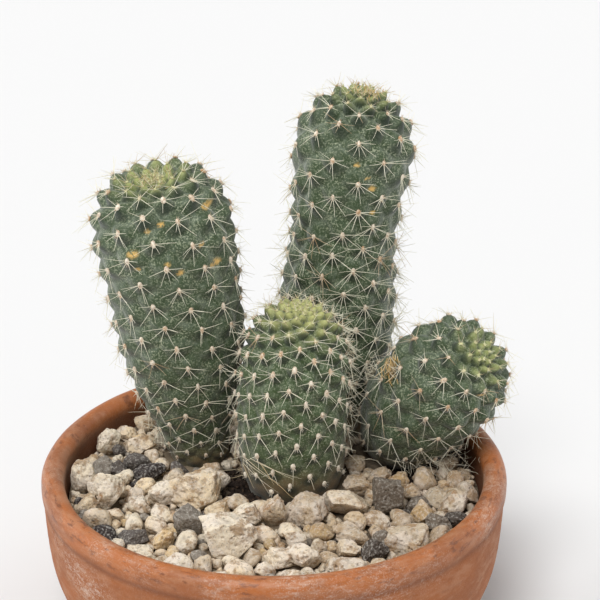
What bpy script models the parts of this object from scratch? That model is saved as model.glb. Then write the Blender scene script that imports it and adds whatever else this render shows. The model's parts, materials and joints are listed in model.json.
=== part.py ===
"""Potted rebutia: four spiny stems standing in a shallow terracotta bowl of soil and pumice.

Units are metres and +Z is up. The origin is the middle of the flat underside of the bowl, and
-Y is the side that the bowl is looked at from. Run it with Blender 4.5 in the background, or
from the text editor.
"""
import math
import random
from dataclasses import dataclass

import bmesh
import bpy
import numpy as np
from mathutils import Matrix, Vector
from mathutils.bvhtree import BVHTree

SEED = 7
GAP = 0.0003

# Bowl
BOWL_RADIUS = 0.060
BOWL_HEIGHT = 0.047
WALL = 0.006
FLOOR_THICKNESS = 0.0065
FOOT_RADIUS = 0.036
FLOOR_CORNER = 0.010
SIDE_TAPER = 0.087
BELLY_DEPTH = 0.054
BELLY_REACH = 0.0758
BELLY_POWER = 4.6
SIDE_POINTS = 7
LIP_POINTS = 4
BOWL_SIDES = 40
DRAIN_HOLES = 3
DRAIN_RADIUS = 0.004
DRAIN_CIRCLE = 0.019
DRAIN_SIDES = 20

# Filling
SOIL_TOP = 0.034
BED_TOP = 0.0395
HOLE_GAP = 0.0004

# Heights at which the bowl's inside and its filling both have a ring of corners
INNER_HEIGHTS = (FLOOR_THICKNESS, 0.0095, 0.0145, 0.0230, SOIL_TOP, BOWL_HEIGHT - WALL / 2)

# Stones of the top dressing
STONE_SINK = 0.3
STONE_ROUGHNESS = 0.16
FILL_STONES = 56
FILL_TRIES = 5000
STONE_SPACING = 0.92
STEM_CLEARANCE = 0.0012
WALL_CLEARANCE = 0.0004
STONES_REACH = 0.0472
FINE_STONES = 6

# Stems
TUBERCLE_RISE = 0.0010
PIT_DEPTH = 0.0011
PIT_SHARE = 0.16
FULL_RELIEF_RADIUS = 0.006
RING = 6
COLLAR_Z = 0.0402
FIRST_AREOLE_Z = 0.0390
CROWN_RADIUS = 0.0024
SPINY_RADIUS = 0.0042
AREOLE_RADIUS = 0.00065
REFERENCE_SHARE = 0.7
FOOT_EASE = 1.3
AXIS_STEPS = 1200

# Spines
SPINE_SLANTS = (32.0, 45.0, 60.0, 75.0)
SPINE_SHORTENING = (1.0, 1.0, 0.85, 0.7)
SPINE_ROOM = 0.0006
SPINE_BODY_ROOM = 0.0007
SPINE_SAMPLES = 8

COLOURS = {
    "terracotta": (0.52, 0.20, 0.09),
    "soil": (0.05, 0.035, 0.025),
    "pumice": (0.62, 0.55, 0.42),
    "skin": (0.10, 0.17, 0.09),
    "young_skin": (0.20, 0.28, 0.08),
}


@dataclass(frozen=True)
class Stem:
    """One stem: a bent axis, a girth along it, and areoles on crossing spirals.

    root, bend and tip steer the axis. girth pairs a share of the axis with a radius. near and
    far are the numbers of spirals that run each way, and turn is the angle from one areole to
    the next in full turns, positive anticlockwise from above. An areole's share of the skin is
    crowding times the radius squared, which stretch makes larger toward the tip. Where the
    stem is slim, low down, its areoles stand less crowded.
    """

    name: str
    root: tuple
    bend: tuple
    tip: tuple
    girth: tuple
    dome_start: float
    dome_power: float
    near: int
    far: int
    turn: float
    first_turn: float
    crowding: float
    stretch: float
    spine_low: float
    spine_high: float

    def axis_point(self, share):
        """Point of the axis at a share of its run, from 0 at the root to 1 at the tip."""
        root, bend, tip = Vector(self.root), Vector(self.bend), Vector(self.tip)
        return root * (1 - share) ** 2 + bend * (2 * share * (1 - share)) + tip * share ** 2

    def heading(self, share):
        """Unit direction of the axis."""
        root, bend, tip = Vector(self.root), Vector(self.bend), Vector(self.tip)
        return ((bend - root) * (1 - share) + (tip - bend) * share).normalized()

    def radius(self, share):
        """Radius of the skin, with the girth joined smoothly and closed by a dome."""
        shares = [pair[0] for pair in self.girth]
        radii = [pair[1] for pair in self.girth]
        trunk = smooth_between(shares, radii, share)
        into_dome = max(0.0, (share - self.dome_start) / (1 - self.dome_start))
        closing = max(0.0, 1 - into_dome ** self.dome_power) ** (1 / self.dome_power)
        return trunk * closing

    def skin_point(self, share, angle, rise=0.0):
        """Point and outward normal on the skin, raised along the normal."""
        heading = self.heading(share)
        across = Vector((1, 0, 0))
        across = (across - across.dot(heading) * heading).normalized()
        along = heading.cross(across)
        outward = across * math.cos(angle) + along * math.sin(angle)
        step = 1e-3
        low, high = max(0.0, share - step), min(1.0, share + step)
        run = (self.axis_point(high) - self.axis_point(low)).length
        slope = math.atan2(self.radius(low) - self.radius(high), run)
        normal = outward * math.cos(slope) + heading * math.sin(slope)
        point = self.axis_point(share) + outward * self.radius(share) + normal * rise
        return point, normal

    def areole_shares(self):
        """Shares of the axis at which successive areoles lie, with each one's number."""
        steps = np.linspace(0.0, 1.0, AXIS_STEPS)
        radii = np.array([self.radius(share) for share in steps])
        points = np.array([self.axis_point(share) for share in steps])
        run = np.hypot(np.linalg.norm(np.diff(points, axis=0), axis=1), np.diff(radii))
        mean_radius = np.maximum((radii[1:] + radii[:-1]) / 2, 1e-5)
        mean_share = (steps[1:] + steps[:-1]) / 2
        slimness = np.where(mean_share < self.dome_start, 1 - mean_radius / radii.max(), 0.0)
        room = self.crowding * (1 + self.stretch * (mean_share - 0.6))
        room *= 1 + FOOT_EASE * slimness
        number = np.concatenate([[0.0], np.cumsum(math.tau / (room * mean_radius) * run)])
        number -= np.interp(REFERENCE_SHARE, steps, number)
        whole = np.arange(math.ceil(number[0]), math.floor(number[-1]))
        return whole, np.interp(whole, number, steps)


STEMS = (
    Stem("stem_left", (-0.019, 0.021, 0.0267), (-0.0238, 0.0195, 0.080), (-0.0314, 0.015, 0.1214),
         ((0, 0.0058), (0.13, 0.0074), (0.22, 0.0097), (0.35, 0.0136), (0.5, 0.0159),
          (0.65, 0.0162), (0.8, 0.0171), (1, 0.0172)),
         0.78, 2.6, 5, 8, 0.38322, 3.97, 0.183, 0.28, 0.0062, 0.0056),
    Stem("stem_back", (0.0152, 0.0378, 0.0267), (0.0156, 0.0378, 0.090), (0.0232, 0.0348, 0.1382),
         ((0, 0.0078), (0.1, 0.0090), (0.2, 0.0110), (0.32, 0.0148), (0.48, 0.0141),
          (0.6, 0.0129), (0.72, 0.0139), (0.86, 0.0149), (1, 0.0140)),
         0.82, 1.8, 5, 8, -0.38290, 0.9, 0.208, 0.0, 0.0098, 0.0056),
    Stem("stem_front", (0.0059, 0.0080, 0.0267), (0.0030, 0.0060, 0.060), (0.0069, 0.0035, 0.0892),
         ((0, 0.0093), (0.15, 0.0117), (0.3, 0.0133), (0.5, 0.0137), (0.75, 0.0131), (1, 0.0125)),
         0.63, 2.3, 7, 11, -0.27720, 2.5, 0.158, 0.0, 0.0052, 0.0036),
    Stem("stem_right", (0.0305, 0.0250, 0.0267), (0.0325, 0.0230, 0.054), (0.0545, 0.0035, 0.077),
         ((0, 0.0060), (0.15, 0.0064), (0.25, 0.0092), (0.36, 0.0119), (0.5, 0.0138),
          (0.7, 0.0144), (1, 0.0138)),
         0.71, 2.0, 5, 8, -0.38400, 3.76, 0.262, 0.0, 0.0060, 0.0050),
)

# The larger stones, each with its place (x, y), its length, width and height, and its turn
# from +X in degrees.
MAIN_STONES = (
    (-0.0110, -0.0335, 0.0148, 0.0125, 0.0100, 10),
    (-0.0205, -0.0075, 0.0142, 0.0105, 0.0085, -8),
    (0.0190, -0.0115, 0.0124, 0.0098, 0.0085, 12),
    (0.0080, -0.0175, 0.0116, 0.0095, 0.0080, -15),
    (0.0335, -0.0285, 0.0120, 0.0090, 0.0075, 25),
    (-0.0425, -0.0125, 0.0088, 0.0125, 0.0085, 20),
    (0.0295, -0.0125, 0.0085, 0.0110, 0.0090, 5),
    (-0.0215, -0.0245, 0.0075, 0.0115, 0.0080, -12),
    (-0.0005, -0.0215, 0.0072, 0.0110, 0.0085, 15),
    (0.0175, -0.0400, 0.0104, 0.0070, 0.0065, 20),
    (0.0070, -0.0385, 0.0094, 0.0082, 0.0070, -20),
    (-0.0335, 0.0100, 0.0090, 0.0068, 0.0070, 15),
    (-0.0325, -0.0325, 0.0092, 0.0062, 0.0060, -40),
    (-0.0495, -0.0010, 0.0072, 0.0110, 0.0080, 5),
    (-0.0290, -0.0065, 0.0080, 0.0082, 0.0072, 30),
    (-0.0360, 0.0225, 0.0082, 0.0080, 0.0085, 0),
    (-0.0470, 0.0190, 0.0074, 0.0085, 0.0080, 35),
    (0.0455, -0.0105, 0.0080, 0.0078, 0.0072, 0),
    (0.0375, -0.0155, 0.0075, 0.0078, 0.0072, 40),
    (0.0018, -0.0430, 0.0100, 0.0065, 0.0060, 0),
    (0.0255, -0.0350, 0.0078, 0.0080, 0.0070, 10),
    (-0.0072, -0.0185, 0.0078, 0.0078, 0.0070, 0),
)


def smooth_between(places, values, place):
    """Reads a value off a smooth curve through the given points."""
    last = len(places) - 1
    index = min(max(int(np.searchsorted(places, place)) - 1, 0), last - 1)
    chords = [(values[i + 1] - values[i]) / (places[i + 1] - places[i]) for i in range(last)]

    def slope(i):
        if i in (0, last):
            return chords[0] if i == 0 else chords[-1]
        before, after = chords[i - 1], chords[i]
        return 0.0 if before * after <= 0 else 2 * before * after / (before + after)

    span = places[index + 1] - places[index]
    u = min(max((place - places[index]) / span, 0.0), 1.0)
    start = values[index] * (1 + 2 * u) * (1 - u) ** 2 + span * slope(index) * u * (1 - u) ** 2
    end = values[index + 1] * u * u * (3 - 2 * u) - span * slope(index + 1) * u * u * (1 - u)
    return start + end


def clear_scene():
    """Removes every object that the file opened with."""
    for thing in list(bpy.data.objects):
        bpy.data.objects.remove(thing, do_unlink=True)


def new_collection(name):
    """Adds a collection under the scene."""
    collection = bpy.data.collections.new(name)
    bpy.context.scene.collection.children.link(collection)
    return collection


def material(name, colour, roughness):
    """A plain Principled material."""
    made = bpy.data.materials.new(name)
    made.use_nodes = True
    shader = made.node_tree.nodes["Principled BSDF"]
    shader.inputs["Base Color"].default_value = (*colour, 1.0)
    shader.inputs["Roughness"].default_value = roughness
    shader.inputs["Metallic"].default_value = 0.0
    return made


def mesh_object(name, bm, collection, finish=None):
    """Turns a bmesh into an object."""
    mesh = bpy.data.meshes.new(name)
    bm.to_mesh(mesh)
    bm.free()
    thing = bpy.data.objects.new(name, mesh)
    collection.objects.link(thing)
    if finish:
        mesh.materials.append(finish)
    return thing


def turned(name, profile, collection, finish):
    """Screws a profile of (radius, height) points, top to bottom, into a round solid."""
    bm = bmesh.new()
    corners = [bm.verts.new((radius, 0.0, height)) for radius, height in profile]
    for upper, lower in zip(corners, corners[1:]):
        bm.edges.new((upper, lower))
    thing = mesh_object(name, bm, collection, finish)
    screw = thing.modifiers.new("Turn", "SCREW")
    screw.axis = "Z"
    screw.angle = math.tau
    screw.steps = BOWL_SIDES
    screw.render_steps = BOWL_SIDES
    screw.use_merge_vertices = True
    screw.merge_threshold = 0.00001
    screw.use_smooth_shade = True
    return thing


def outer_radius(height):
    """Radius of the bowl's outside: nearly upright, then rounding under to the foot."""
    drop = BOWL_HEIGHT - WALL - height
    if drop <= 0:
        return BOWL_RADIUS
    return BOWL_RADIUS - SIDE_TAPER * drop - BELLY_REACH * (drop / BELLY_DEPTH) ** BELLY_POWER


def inner_curve(height):
    """Radius of the bowl's inside, one wall in from the outside and rounded into the floor."""
    above_floor = max(0.0, height - FLOOR_THICKNESS)
    corner = FLOOR_CORNER * max(0.0, 1 - above_floor / (1.2 * FLOOR_CORNER)) ** 2
    return outer_radius(height) - WALL - corner


def inner_radius(height):
    """Radius of the bowl's inside along the straight runs of its section."""
    return float(np.interp(height, INNER_HEIGHTS, [inner_curve(step) for step in INNER_HEIGHTS]))


def bowl_profile():
    """The bowl's section from the middle of its floor, over the lip, to the middle beneath."""
    lip_radius = WALL / 2
    lip_height = BOWL_HEIGHT - lip_radius
    points = [(0.0, FLOOR_THICKNESS)]
    points += [(inner_radius(height), height) for height in INNER_HEIGHTS[:-1]]
    for step in range(LIP_POINTS + 1):
        angle = math.pi * (1 - step / LIP_POINTS)
        points.append((BOWL_RADIUS - lip_radius + lip_radius * math.cos(angle),
                       lip_height + lip_radius * math.sin(angle)))
    sides = [(BOWL_HEIGHT - WALL) * (1 - (step / SIDE_POINTS) ** 0.75)
             for step in range(1, SIDE_POINTS)]
    points += [(outer_radius(height), height) for height in sides]
    points += [(FOOT_RADIUS, 0.0), (0.0, 0.0)]
    return points


def filling_profile(top, bottom):
    """Section of a filling that lies a gap inside the bowl's wall."""
    between = [height for height in reversed(INNER_HEIGHTS) if bottom < height < top]
    heights = [top, *between, bottom]
    points = [(0.0, top)]
    points += [(inner_radius(height) - GAP, height) for height in heights]
    points.append((0.0, bottom))
    return points


def boolean(thing, operation, collection):
    """Adds a Boolean with every object of a collection."""
    step = thing.modifiers.new(operation.title(), "BOOLEAN")
    step.operation = operation
    step.operand_type = "COLLECTION"
    step.collection = collection
    step.solver = "EXACT"


def apply_modifiers(thing):
    """Replaces an object's mesh by its evaluated mesh and drops its modifiers."""
    graph = bpy.context.evaluated_depsgraph_get()
    made = bpy.data.meshes.new_from_object(thing.evaluated_get(graph))
    thing.modifiers.clear()
    thing.data = made
    made.name = thing.name


def make_bowl(collection, finish):
    """The terracotta bowl with its drainage holes."""
    bowl = turned("pot", bowl_profile(), collection, finish)
    drains = new_collection("Drain cutters")
    for index in range(DRAIN_HOLES):
        angle = math.tau * (index / DRAIN_HOLES + 0.25)
        bm = bmesh.new()
        bmesh.ops.create_cone(bm, cap_ends=True, segments=DRAIN_SIDES, radius1=DRAIN_RADIUS,
                              radius2=DRAIN_RADIUS, depth=3 * FLOOR_THICKNESS)
        thing = mesh_object(f"drain_{index}", bm, drains)
        thing.location = (DRAIN_CIRCLE * math.cos(angle), DRAIN_CIRCLE * math.sin(angle), 0.0)
        thing.hide_render = True
        thing.display_type = "WIRE"
    boolean(bowl, "DIFFERENCE", drains)
    return bowl


def hole_cutters():
    """The stems' bodies, grown by a gap all round, to cut the holes that they stand in."""
    holes = new_collection("Stem holes")
    for stem in STEMS:
        bm = bare_body(stem)
        bm.normal_update()
        moves = [vert.normal * HOLE_GAP * vert.calc_shell_factor() for vert in bm.verts]
        for vert, move in zip(bm.verts, moves):
            vert.co += move
        thing = mesh_object(f"hole_{stem.name}", bm, holes)
        thing.hide_render = True
        thing.display_type = "WIRE"
    return holes


def collar_share(stem):
    """Share of the axis at which the foot widens into the tubercled body."""
    shares = np.linspace(0, 0.5, 400)
    heights = [stem.axis_point(share).z for share in shares]
    return float(np.interp(COLLAR_Z, heights, shares))


def ground_taken(stem):
    """Places on the ground, as rows of x and y, that lie under the low part of a stem."""
    places = []
    for share in np.linspace(0, 0.8, 48):
        centre = stem.axis_point(share)
        for angle in np.linspace(0, math.tau, 20, endpoint=False):
            skin = stem.skin_point(share, angle, TUBERCLE_RISE)[0]
            if skin.z < STONES_REACH:
                places += [centre.lerp(skin, part).xy for part in (0.0, 0.35, 0.7, 1.0)]
    return np.array(places)


def stone(name, place, size, turn, rng, collection, subdivisions):
    """A rounded, slightly dented stone sunk into the bed."""
    bm = bmesh.new()
    bmesh.ops.create_icosphere(bm, subdivisions=subdivisions, radius=0.5)
    for vert in bm.verts:
        vert.co *= 1 + rng.uniform(-STONE_ROUGHNESS, STONE_ROUGHNESS)
    length, width, height = size
    bmesh.ops.scale(bm, verts=bm.verts, vec=(length, width, height))
    tilt = Matrix.Rotation(math.radians(rng.uniform(-9, 9)), 4, "X")
    spin = Matrix.Rotation(math.radians(turn), 4, "Z")
    lift = BED_TOP + height * (0.5 - STONE_SINK)
    move = Matrix.Translation((place[0], place[1], lift))
    bmesh.ops.transform(bm, verts=bm.verts, matrix=move @ spin @ tilt)
    return mesh_object(name, bm, collection)


def make_gravel(collection, finish, holes):
    """The bed of fine grit with the stones grown into it, cut clear of the stems."""
    rng = random.Random(SEED)
    bed = turned("gravel", filling_profile(BED_TOP, SOIL_TOP + GAP), collection, finish)
    apply_modifiers(bed)
    stones = new_collection("Stones")
    taken = np.concatenate([ground_taken(stem) for stem in STEMS])
    placed = []

    wall = inner_radius(BED_TOP) * math.cos(math.pi / BOWL_SIDES) - WALL_CLEARANCE

    def fits(x, y, reach):
        if math.hypot(x, y) + reach * (1 + STONE_ROUGHNESS) > wall:
            return False
        if np.hypot(*(taken - (x, y)).T).min() < reach + STEM_CLEARANCE:
            return False
        return all(math.hypot(x - a, y - b) > (reach + c) * STONE_SPACING
                   for a, b, c in placed)

    for index, (x, y, length, width, height, turn) in enumerate(MAIN_STONES):
        reach = (length + width) / 4
        limit = wall - max(length, width) / 2 * (1 + STONE_ROUGHNESS)
        pull = min(1.0, limit / math.hypot(x, y))
        x, y = x * pull, y * pull
        fineness = 2 if index < FINE_STONES else 1
        stone(f"stone_{index}", (x, y), (length, width, height), turn, rng, stones, fineness)
        placed.append((x, y, reach))
    made = 0
    for attempt in range(FILL_TRIES):
        size = 0.0078 - 0.0030 * attempt / FILL_TRIES
        angle = rng.uniform(0, math.tau)
        far = 0.0525 * math.sqrt(rng.random())
        x, y = far * math.cos(angle), far * math.sin(angle)
        length = size * rng.uniform(0.95, 1.3)
        width = size * rng.uniform(0.8, 1.0)
        height = size * rng.uniform(0.8, 1.0)
        if made < FILL_STONES and fits(x, y, max(length, width) / 2):
            turn = rng.uniform(0, 180)
            stone(f"fill_{made}", (x, y), (length, width, height), turn, rng, stones, 1)
            placed.append((x, y, (length + width) / 4))
            made += 1
    boolean(bed, "UNION", stones)
    boolean(bed, "DIFFERENCE", holes)
    apply_modifiers(bed)
    for thing in list(stones.objects):
        bpy.data.objects.remove(thing, do_unlink=True)
    return bed


def raised_areoles(stem):
    """Peak, outward normal and skin radius of each areole above the stones, from low to high."""
    areoles = []
    for number, share in zip(*stem.areole_shares()):
        radius, heading = stem.radius(share), stem.heading(share)
        lowest_skin = stem.axis_point(share).z - radius * math.hypot(heading.x, heading.y)
        if lowest_skin < FIRST_AREOLE_Z:
            continue
        if share > stem.dome_start and radius < CROWN_RADIUS:
            break
        angle = stem.first_turn + math.tau * stem.turn * number
        rise = TUBERCLE_RISE * min(1.0, radius / FULL_RELIEF_RADIUS)
        point, normal = stem.skin_point(share, angle, rise)
        areoles.append((point, normal, radius))
    return areoles


def tubercle_rings(stem, bm, areoles):
    """Puts a pit between every three neighbouring areoles.

    Returns the six pits round each areole that has all its neighbours, in turning order.
    """
    near, far, both = stem.near, stem.far, stem.near + stem.far

    def pit(corners):
        centre = sum((areoles[i][0] for i in corners), Vector()) / 3
        outward = sum((areoles[i][1] for i in corners), Vector()).normalized()
        spread = (areoles[corners[0]][0] - areoles[corners[2]][0]).length
        return bm.verts.new(centre - outward * min(PIT_DEPTH, PIT_SHARE * spread))

    first, second = [], []
    for low in range(len(areoles) - both):
        first.append(pit((low, low + near, low + both)))
        second.append(pit((low, low + far, low + both)))
    rings = {}
    for k in range(both, len(areoles) - both):
        rings[k] = (first[k], second[k], first[k - near],
                    second[k - both], first[k - both], second[k - far])
    return rings


def close_crown(bm, rim, stem):
    """Closes the top with faces that meet at the tip of the axis."""
    made = bmesh.ops.holes_fill(bm, edges=rim, sides=0)
    centre = bmesh.ops.poke(bm, faces=made["faces"])["verts"][0]
    centre.co = stem.axis_point(1.0)


def grow_foot(bm, rim, stem):
    """Runs the lower rim down to a plain tapered foot with a flat end."""
    collar = collar_share(stem)
    heading = (stem.axis_point(collar) - stem.axis_point(0.0)).normalized()
    for share in (collar, 0.0):
        grown = bmesh.ops.extrude_edge_only(bm, edges=rim)["geom"]
        centre = stem.axis_point(share)
        for vert in [item for item in grown if isinstance(item, bmesh.types.BMVert)]:
            arm = vert.co - centre
            arm -= arm.dot(heading) * heading
            vert.co = centre + arm.normalized() * stem.radius(share)
        rim = [item for item in grown if isinstance(item, bmesh.types.BMEdge)]
    bmesh.ops.holes_fill(bm, edges=rim, sides=0)


def bare_body(stem):
    """The body as pointed tubercles, with its crown and foot closed, for measuring room."""
    bm = bmesh.new()
    areoles = raised_areoles(stem)
    for k, ring in tubercle_rings(stem, bm, areoles).items():
        peak = bm.verts.new(areoles[k][0])
        for side in range(RING):
            bm.faces.new((peak, ring[side], ring[(side + 1) % RING]))
    close_ends(bm, stem)
    return bm


def close_ends(bm, stem):
    """Closes the two open rims of a body and turns its faces outward."""
    foot, tip = stem.axis_point(collar_share(stem)), stem.axis_point(1.0)
    upper, lower = [], []
    for edge in [edge for edge in bm.edges if edge.is_boundary]:
        place = edge.verts[0].co
        nearer_tip = (place - tip).length < (place - foot).length
        (upper if nearer_tip else lower).append(edge)
    close_crown(bm, upper, stem)
    grow_foot(bm, lower, stem)
    bmesh.ops.triangulate(bm, faces=bm.faces[:])
    bmesh.ops.recalc_face_normals(bm, faces=bm.faces[:])


class SpineRoom:
    """Keeps spines clear of the other solids, of their own body and of each other."""

    def __init__(self, neighbours, body):
        self.neighbours = neighbours
        self.body = body
        self.samples = np.empty((0, 3))
        self.owners = np.empty(0, dtype=int)

    def free(self, root, tip, owner):
        """Whether a spine from root to tip clears everything."""
        points = [root.lerp(tip, step / SPINE_SAMPLES) for step in range(1, SPINE_SAMPLES + 1)]
        for tree in self.neighbours:
            if any(tree.find_nearest(point, SPINE_ROOM)[0] for point in points):
                return False
        for point in points[3:]:
            if self.body.find_nearest(point, SPINE_BODY_ROOM)[0]:
                return False
        others = self.samples[self.owners != owner]
        if not len(others):
            return True
        gaps = np.linalg.norm(others[None] - np.array(points)[:, None], axis=2)
        return bool(gaps.min() > SPINE_ROOM)

    def take(self, root, tip, owner):
        """Records a spine that has been grown."""
        points = [root.lerp(tip, step / 12) for step in range(13)]
        self.samples = np.concatenate([self.samples, np.array(points)])
        self.owners = np.concatenate([self.owners, np.full(len(points), owner)])


def areole_pad(bm, ring, peak, normal, corners, radius):
    """Tops a tubercle with a small flat pad of a few corners and joins it to the six pits."""
    pad = []
    for corner in range(corners):
        place = corner * RING / corners
        low, part = int(place), place % 1
        toward = ring[low].co.lerp(ring[(low + 1) % RING].co, part) - peak
        toward -= toward.dot(normal) * normal
        pad.append(bm.verts.new(peak + toward.normalized() * radius))
    nearest = [round((side + 0.5) * corners / RING) % corners for side in range(RING)]
    for side in range(RING):
        here, before = nearest[side], nearest[side - 1]
        bm.faces.new((ring[side], ring[(side + 1) % RING], pad[here]))
        if here != before:
            bm.faces.new((ring[side], pad[here], pad[before]))
    return pad


def spine_tip(root, lean, normal, length, owner, room):
    """The first tip that has room, from a low slant to a steep one, or None."""
    for slant, part in zip(SPINE_SLANTS, SPINE_SHORTENING):
        angle = math.radians(slant)
        way = lean * math.cos(angle) + normal * math.sin(angle)
        tip = root + way * length * part
        if room.free(root, tip, owner):
            room.take(root, tip, owner)
            return tip
    return None


def make_stem(stem, neighbours, collection, finish):
    """One stem with its tubercles, areoles and spines as a single solid."""
    bare = bare_body(stem)
    room = SpineRoom(neighbours, BVHTree.FromBMesh(bare))
    bare.free()
    bm = bmesh.new()
    areoles = raised_areoles(stem)
    for k, ring in tubercle_rings(stem, bm, areoles).items():
        point, normal, radius = areoles[k]
        if radius < SPINY_RADIUS:
            peak = bm.verts.new(point)
            for side in range(RING):
                bm.faces.new((peak, ring[side], ring[(side + 1) % RING]))
            continue
        spines = 2 if k % 2 else 1
        size = AREOLE_RADIUS * min(1.0, radius / FULL_RELIEF_RADIUS)
        ring = ring[k % RING:] + ring[:k % RING]
        pad = areole_pad(bm, ring, point, normal, spines + 2, size)
        share = k / len(areoles)
        length = stem.spine_low + (stem.spine_high - stem.spine_low) * share
        for index in range(spines):
            foot = (pad[2 * index], pad[2 * index + 1], pad[(2 * index + 2) % len(pad)])
            root = sum((vert.co for vert in foot), Vector()) / 3
            lean = foot[1].co - point
            tip = spine_tip(root, lean.normalized(), normal, length, k, room)
            if tip is None:
                bm.faces.new(foot)
                continue
            point_vert = bm.verts.new(tip)
            for side in range(3):
                bm.faces.new((foot[side], foot[(side + 1) % 3], point_vert))
    close_ends(bm, stem)
    thing = mesh_object(stem.name, bm, collection, finish)
    thing.data.shade_smooth()
    thing.data.set_sharp_from_angle(angle=math.radians(50))
    return thing


def tree_of(thing):
    """Search tree of an object's evaluated mesh."""
    graph = bpy.context.evaluated_depsgraph_get()
    bm = bmesh.new()
    bm.from_object(thing, graph)
    tree = BVHTree.FromBMesh(bm)
    bm.free()
    return tree


def main():
    """Builds the bowl, its filling and the four stems."""
    clear_scene()
    plant = new_collection("Potted rebutia")
    terracotta = material("terracotta", COLOURS["terracotta"], 0.85)
    earth = material("soil", COLOURS["soil"], 0.95)
    pumice = material("pumice", COLOURS["pumice"], 0.95)
    skin = material("skin", COLOURS["skin"], 0.6)
    young_skin = material("young_skin", COLOURS["young_skin"], 0.6)

    bowl = make_bowl(plant, terracotta)
    holes = hole_cutters()
    soil = turned("soil", filling_profile(SOIL_TOP, FLOOR_THICKNESS + GAP), plant, earth)
    boolean(soil, "DIFFERENCE", holes)
    gravel = make_gravel(plant, pumice, holes)

    solid = [tree_of(thing) for thing in (bowl, soil, gravel)]
    bodies = {}
    for stem in STEMS:
        bare = bare_body(stem)
        bodies[stem.name] = BVHTree.FromBMesh(bare)
        bare.free()
    for stem in STEMS:
        others = solid + [tree for name, tree in bodies.items() if name != stem.name]
        finish = young_skin if stem.name == "stem_front" else skin
        thing = make_stem(stem, others, plant, finish)
        bodies[stem.name] = tree_of(thing)


main()
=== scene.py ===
"""Looks of the potted rebutia: velvety tubercled stems with wool and spines, loose pumice, a
turned terracotta bowl, and the light and camera they are seen by.

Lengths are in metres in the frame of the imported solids. +Z is up and the bowl is looked at
from -Y. Every piece's place is in its mesh, so each object stays at the origin.
"""
from __future__ import annotations

import json
import logging
import math
from dataclasses import dataclass
from enum import Enum
from functools import cached_property, lru_cache

import bmesh
import bpy
import numpy as np
from bpy.types import (Collection, ID, Material, Mesh, Node, NodeSocket, NodeTree, Object,
                       ShaderNodeTree)
from mathutils import Matrix, Vector, noise
from numpy.random import Generator, default_rng

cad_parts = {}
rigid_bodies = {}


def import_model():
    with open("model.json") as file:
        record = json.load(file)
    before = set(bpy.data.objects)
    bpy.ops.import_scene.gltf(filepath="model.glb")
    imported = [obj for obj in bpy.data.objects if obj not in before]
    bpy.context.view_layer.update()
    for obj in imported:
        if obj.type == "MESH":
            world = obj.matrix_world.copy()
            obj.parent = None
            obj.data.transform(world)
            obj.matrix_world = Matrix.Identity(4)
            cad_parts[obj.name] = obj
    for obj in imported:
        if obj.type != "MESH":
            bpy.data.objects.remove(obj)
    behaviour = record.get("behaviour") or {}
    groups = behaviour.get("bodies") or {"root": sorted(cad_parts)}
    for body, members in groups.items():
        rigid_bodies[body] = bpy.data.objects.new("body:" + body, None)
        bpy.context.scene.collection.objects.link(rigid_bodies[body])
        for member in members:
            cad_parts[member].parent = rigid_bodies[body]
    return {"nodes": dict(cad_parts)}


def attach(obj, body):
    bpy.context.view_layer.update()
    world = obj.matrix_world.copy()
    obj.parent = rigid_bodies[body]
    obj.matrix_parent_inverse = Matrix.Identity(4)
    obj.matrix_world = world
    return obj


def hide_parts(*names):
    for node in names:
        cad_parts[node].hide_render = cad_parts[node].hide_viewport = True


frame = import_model()

log = logging.getLogger("potted_rebutia")

MILLIMETRE = 0.001

Colour = tuple[float, float, float]
Point = tuple[float, float, float]
Pair = tuple[float, float]
Array = np.ndarray


# Node trees


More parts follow.
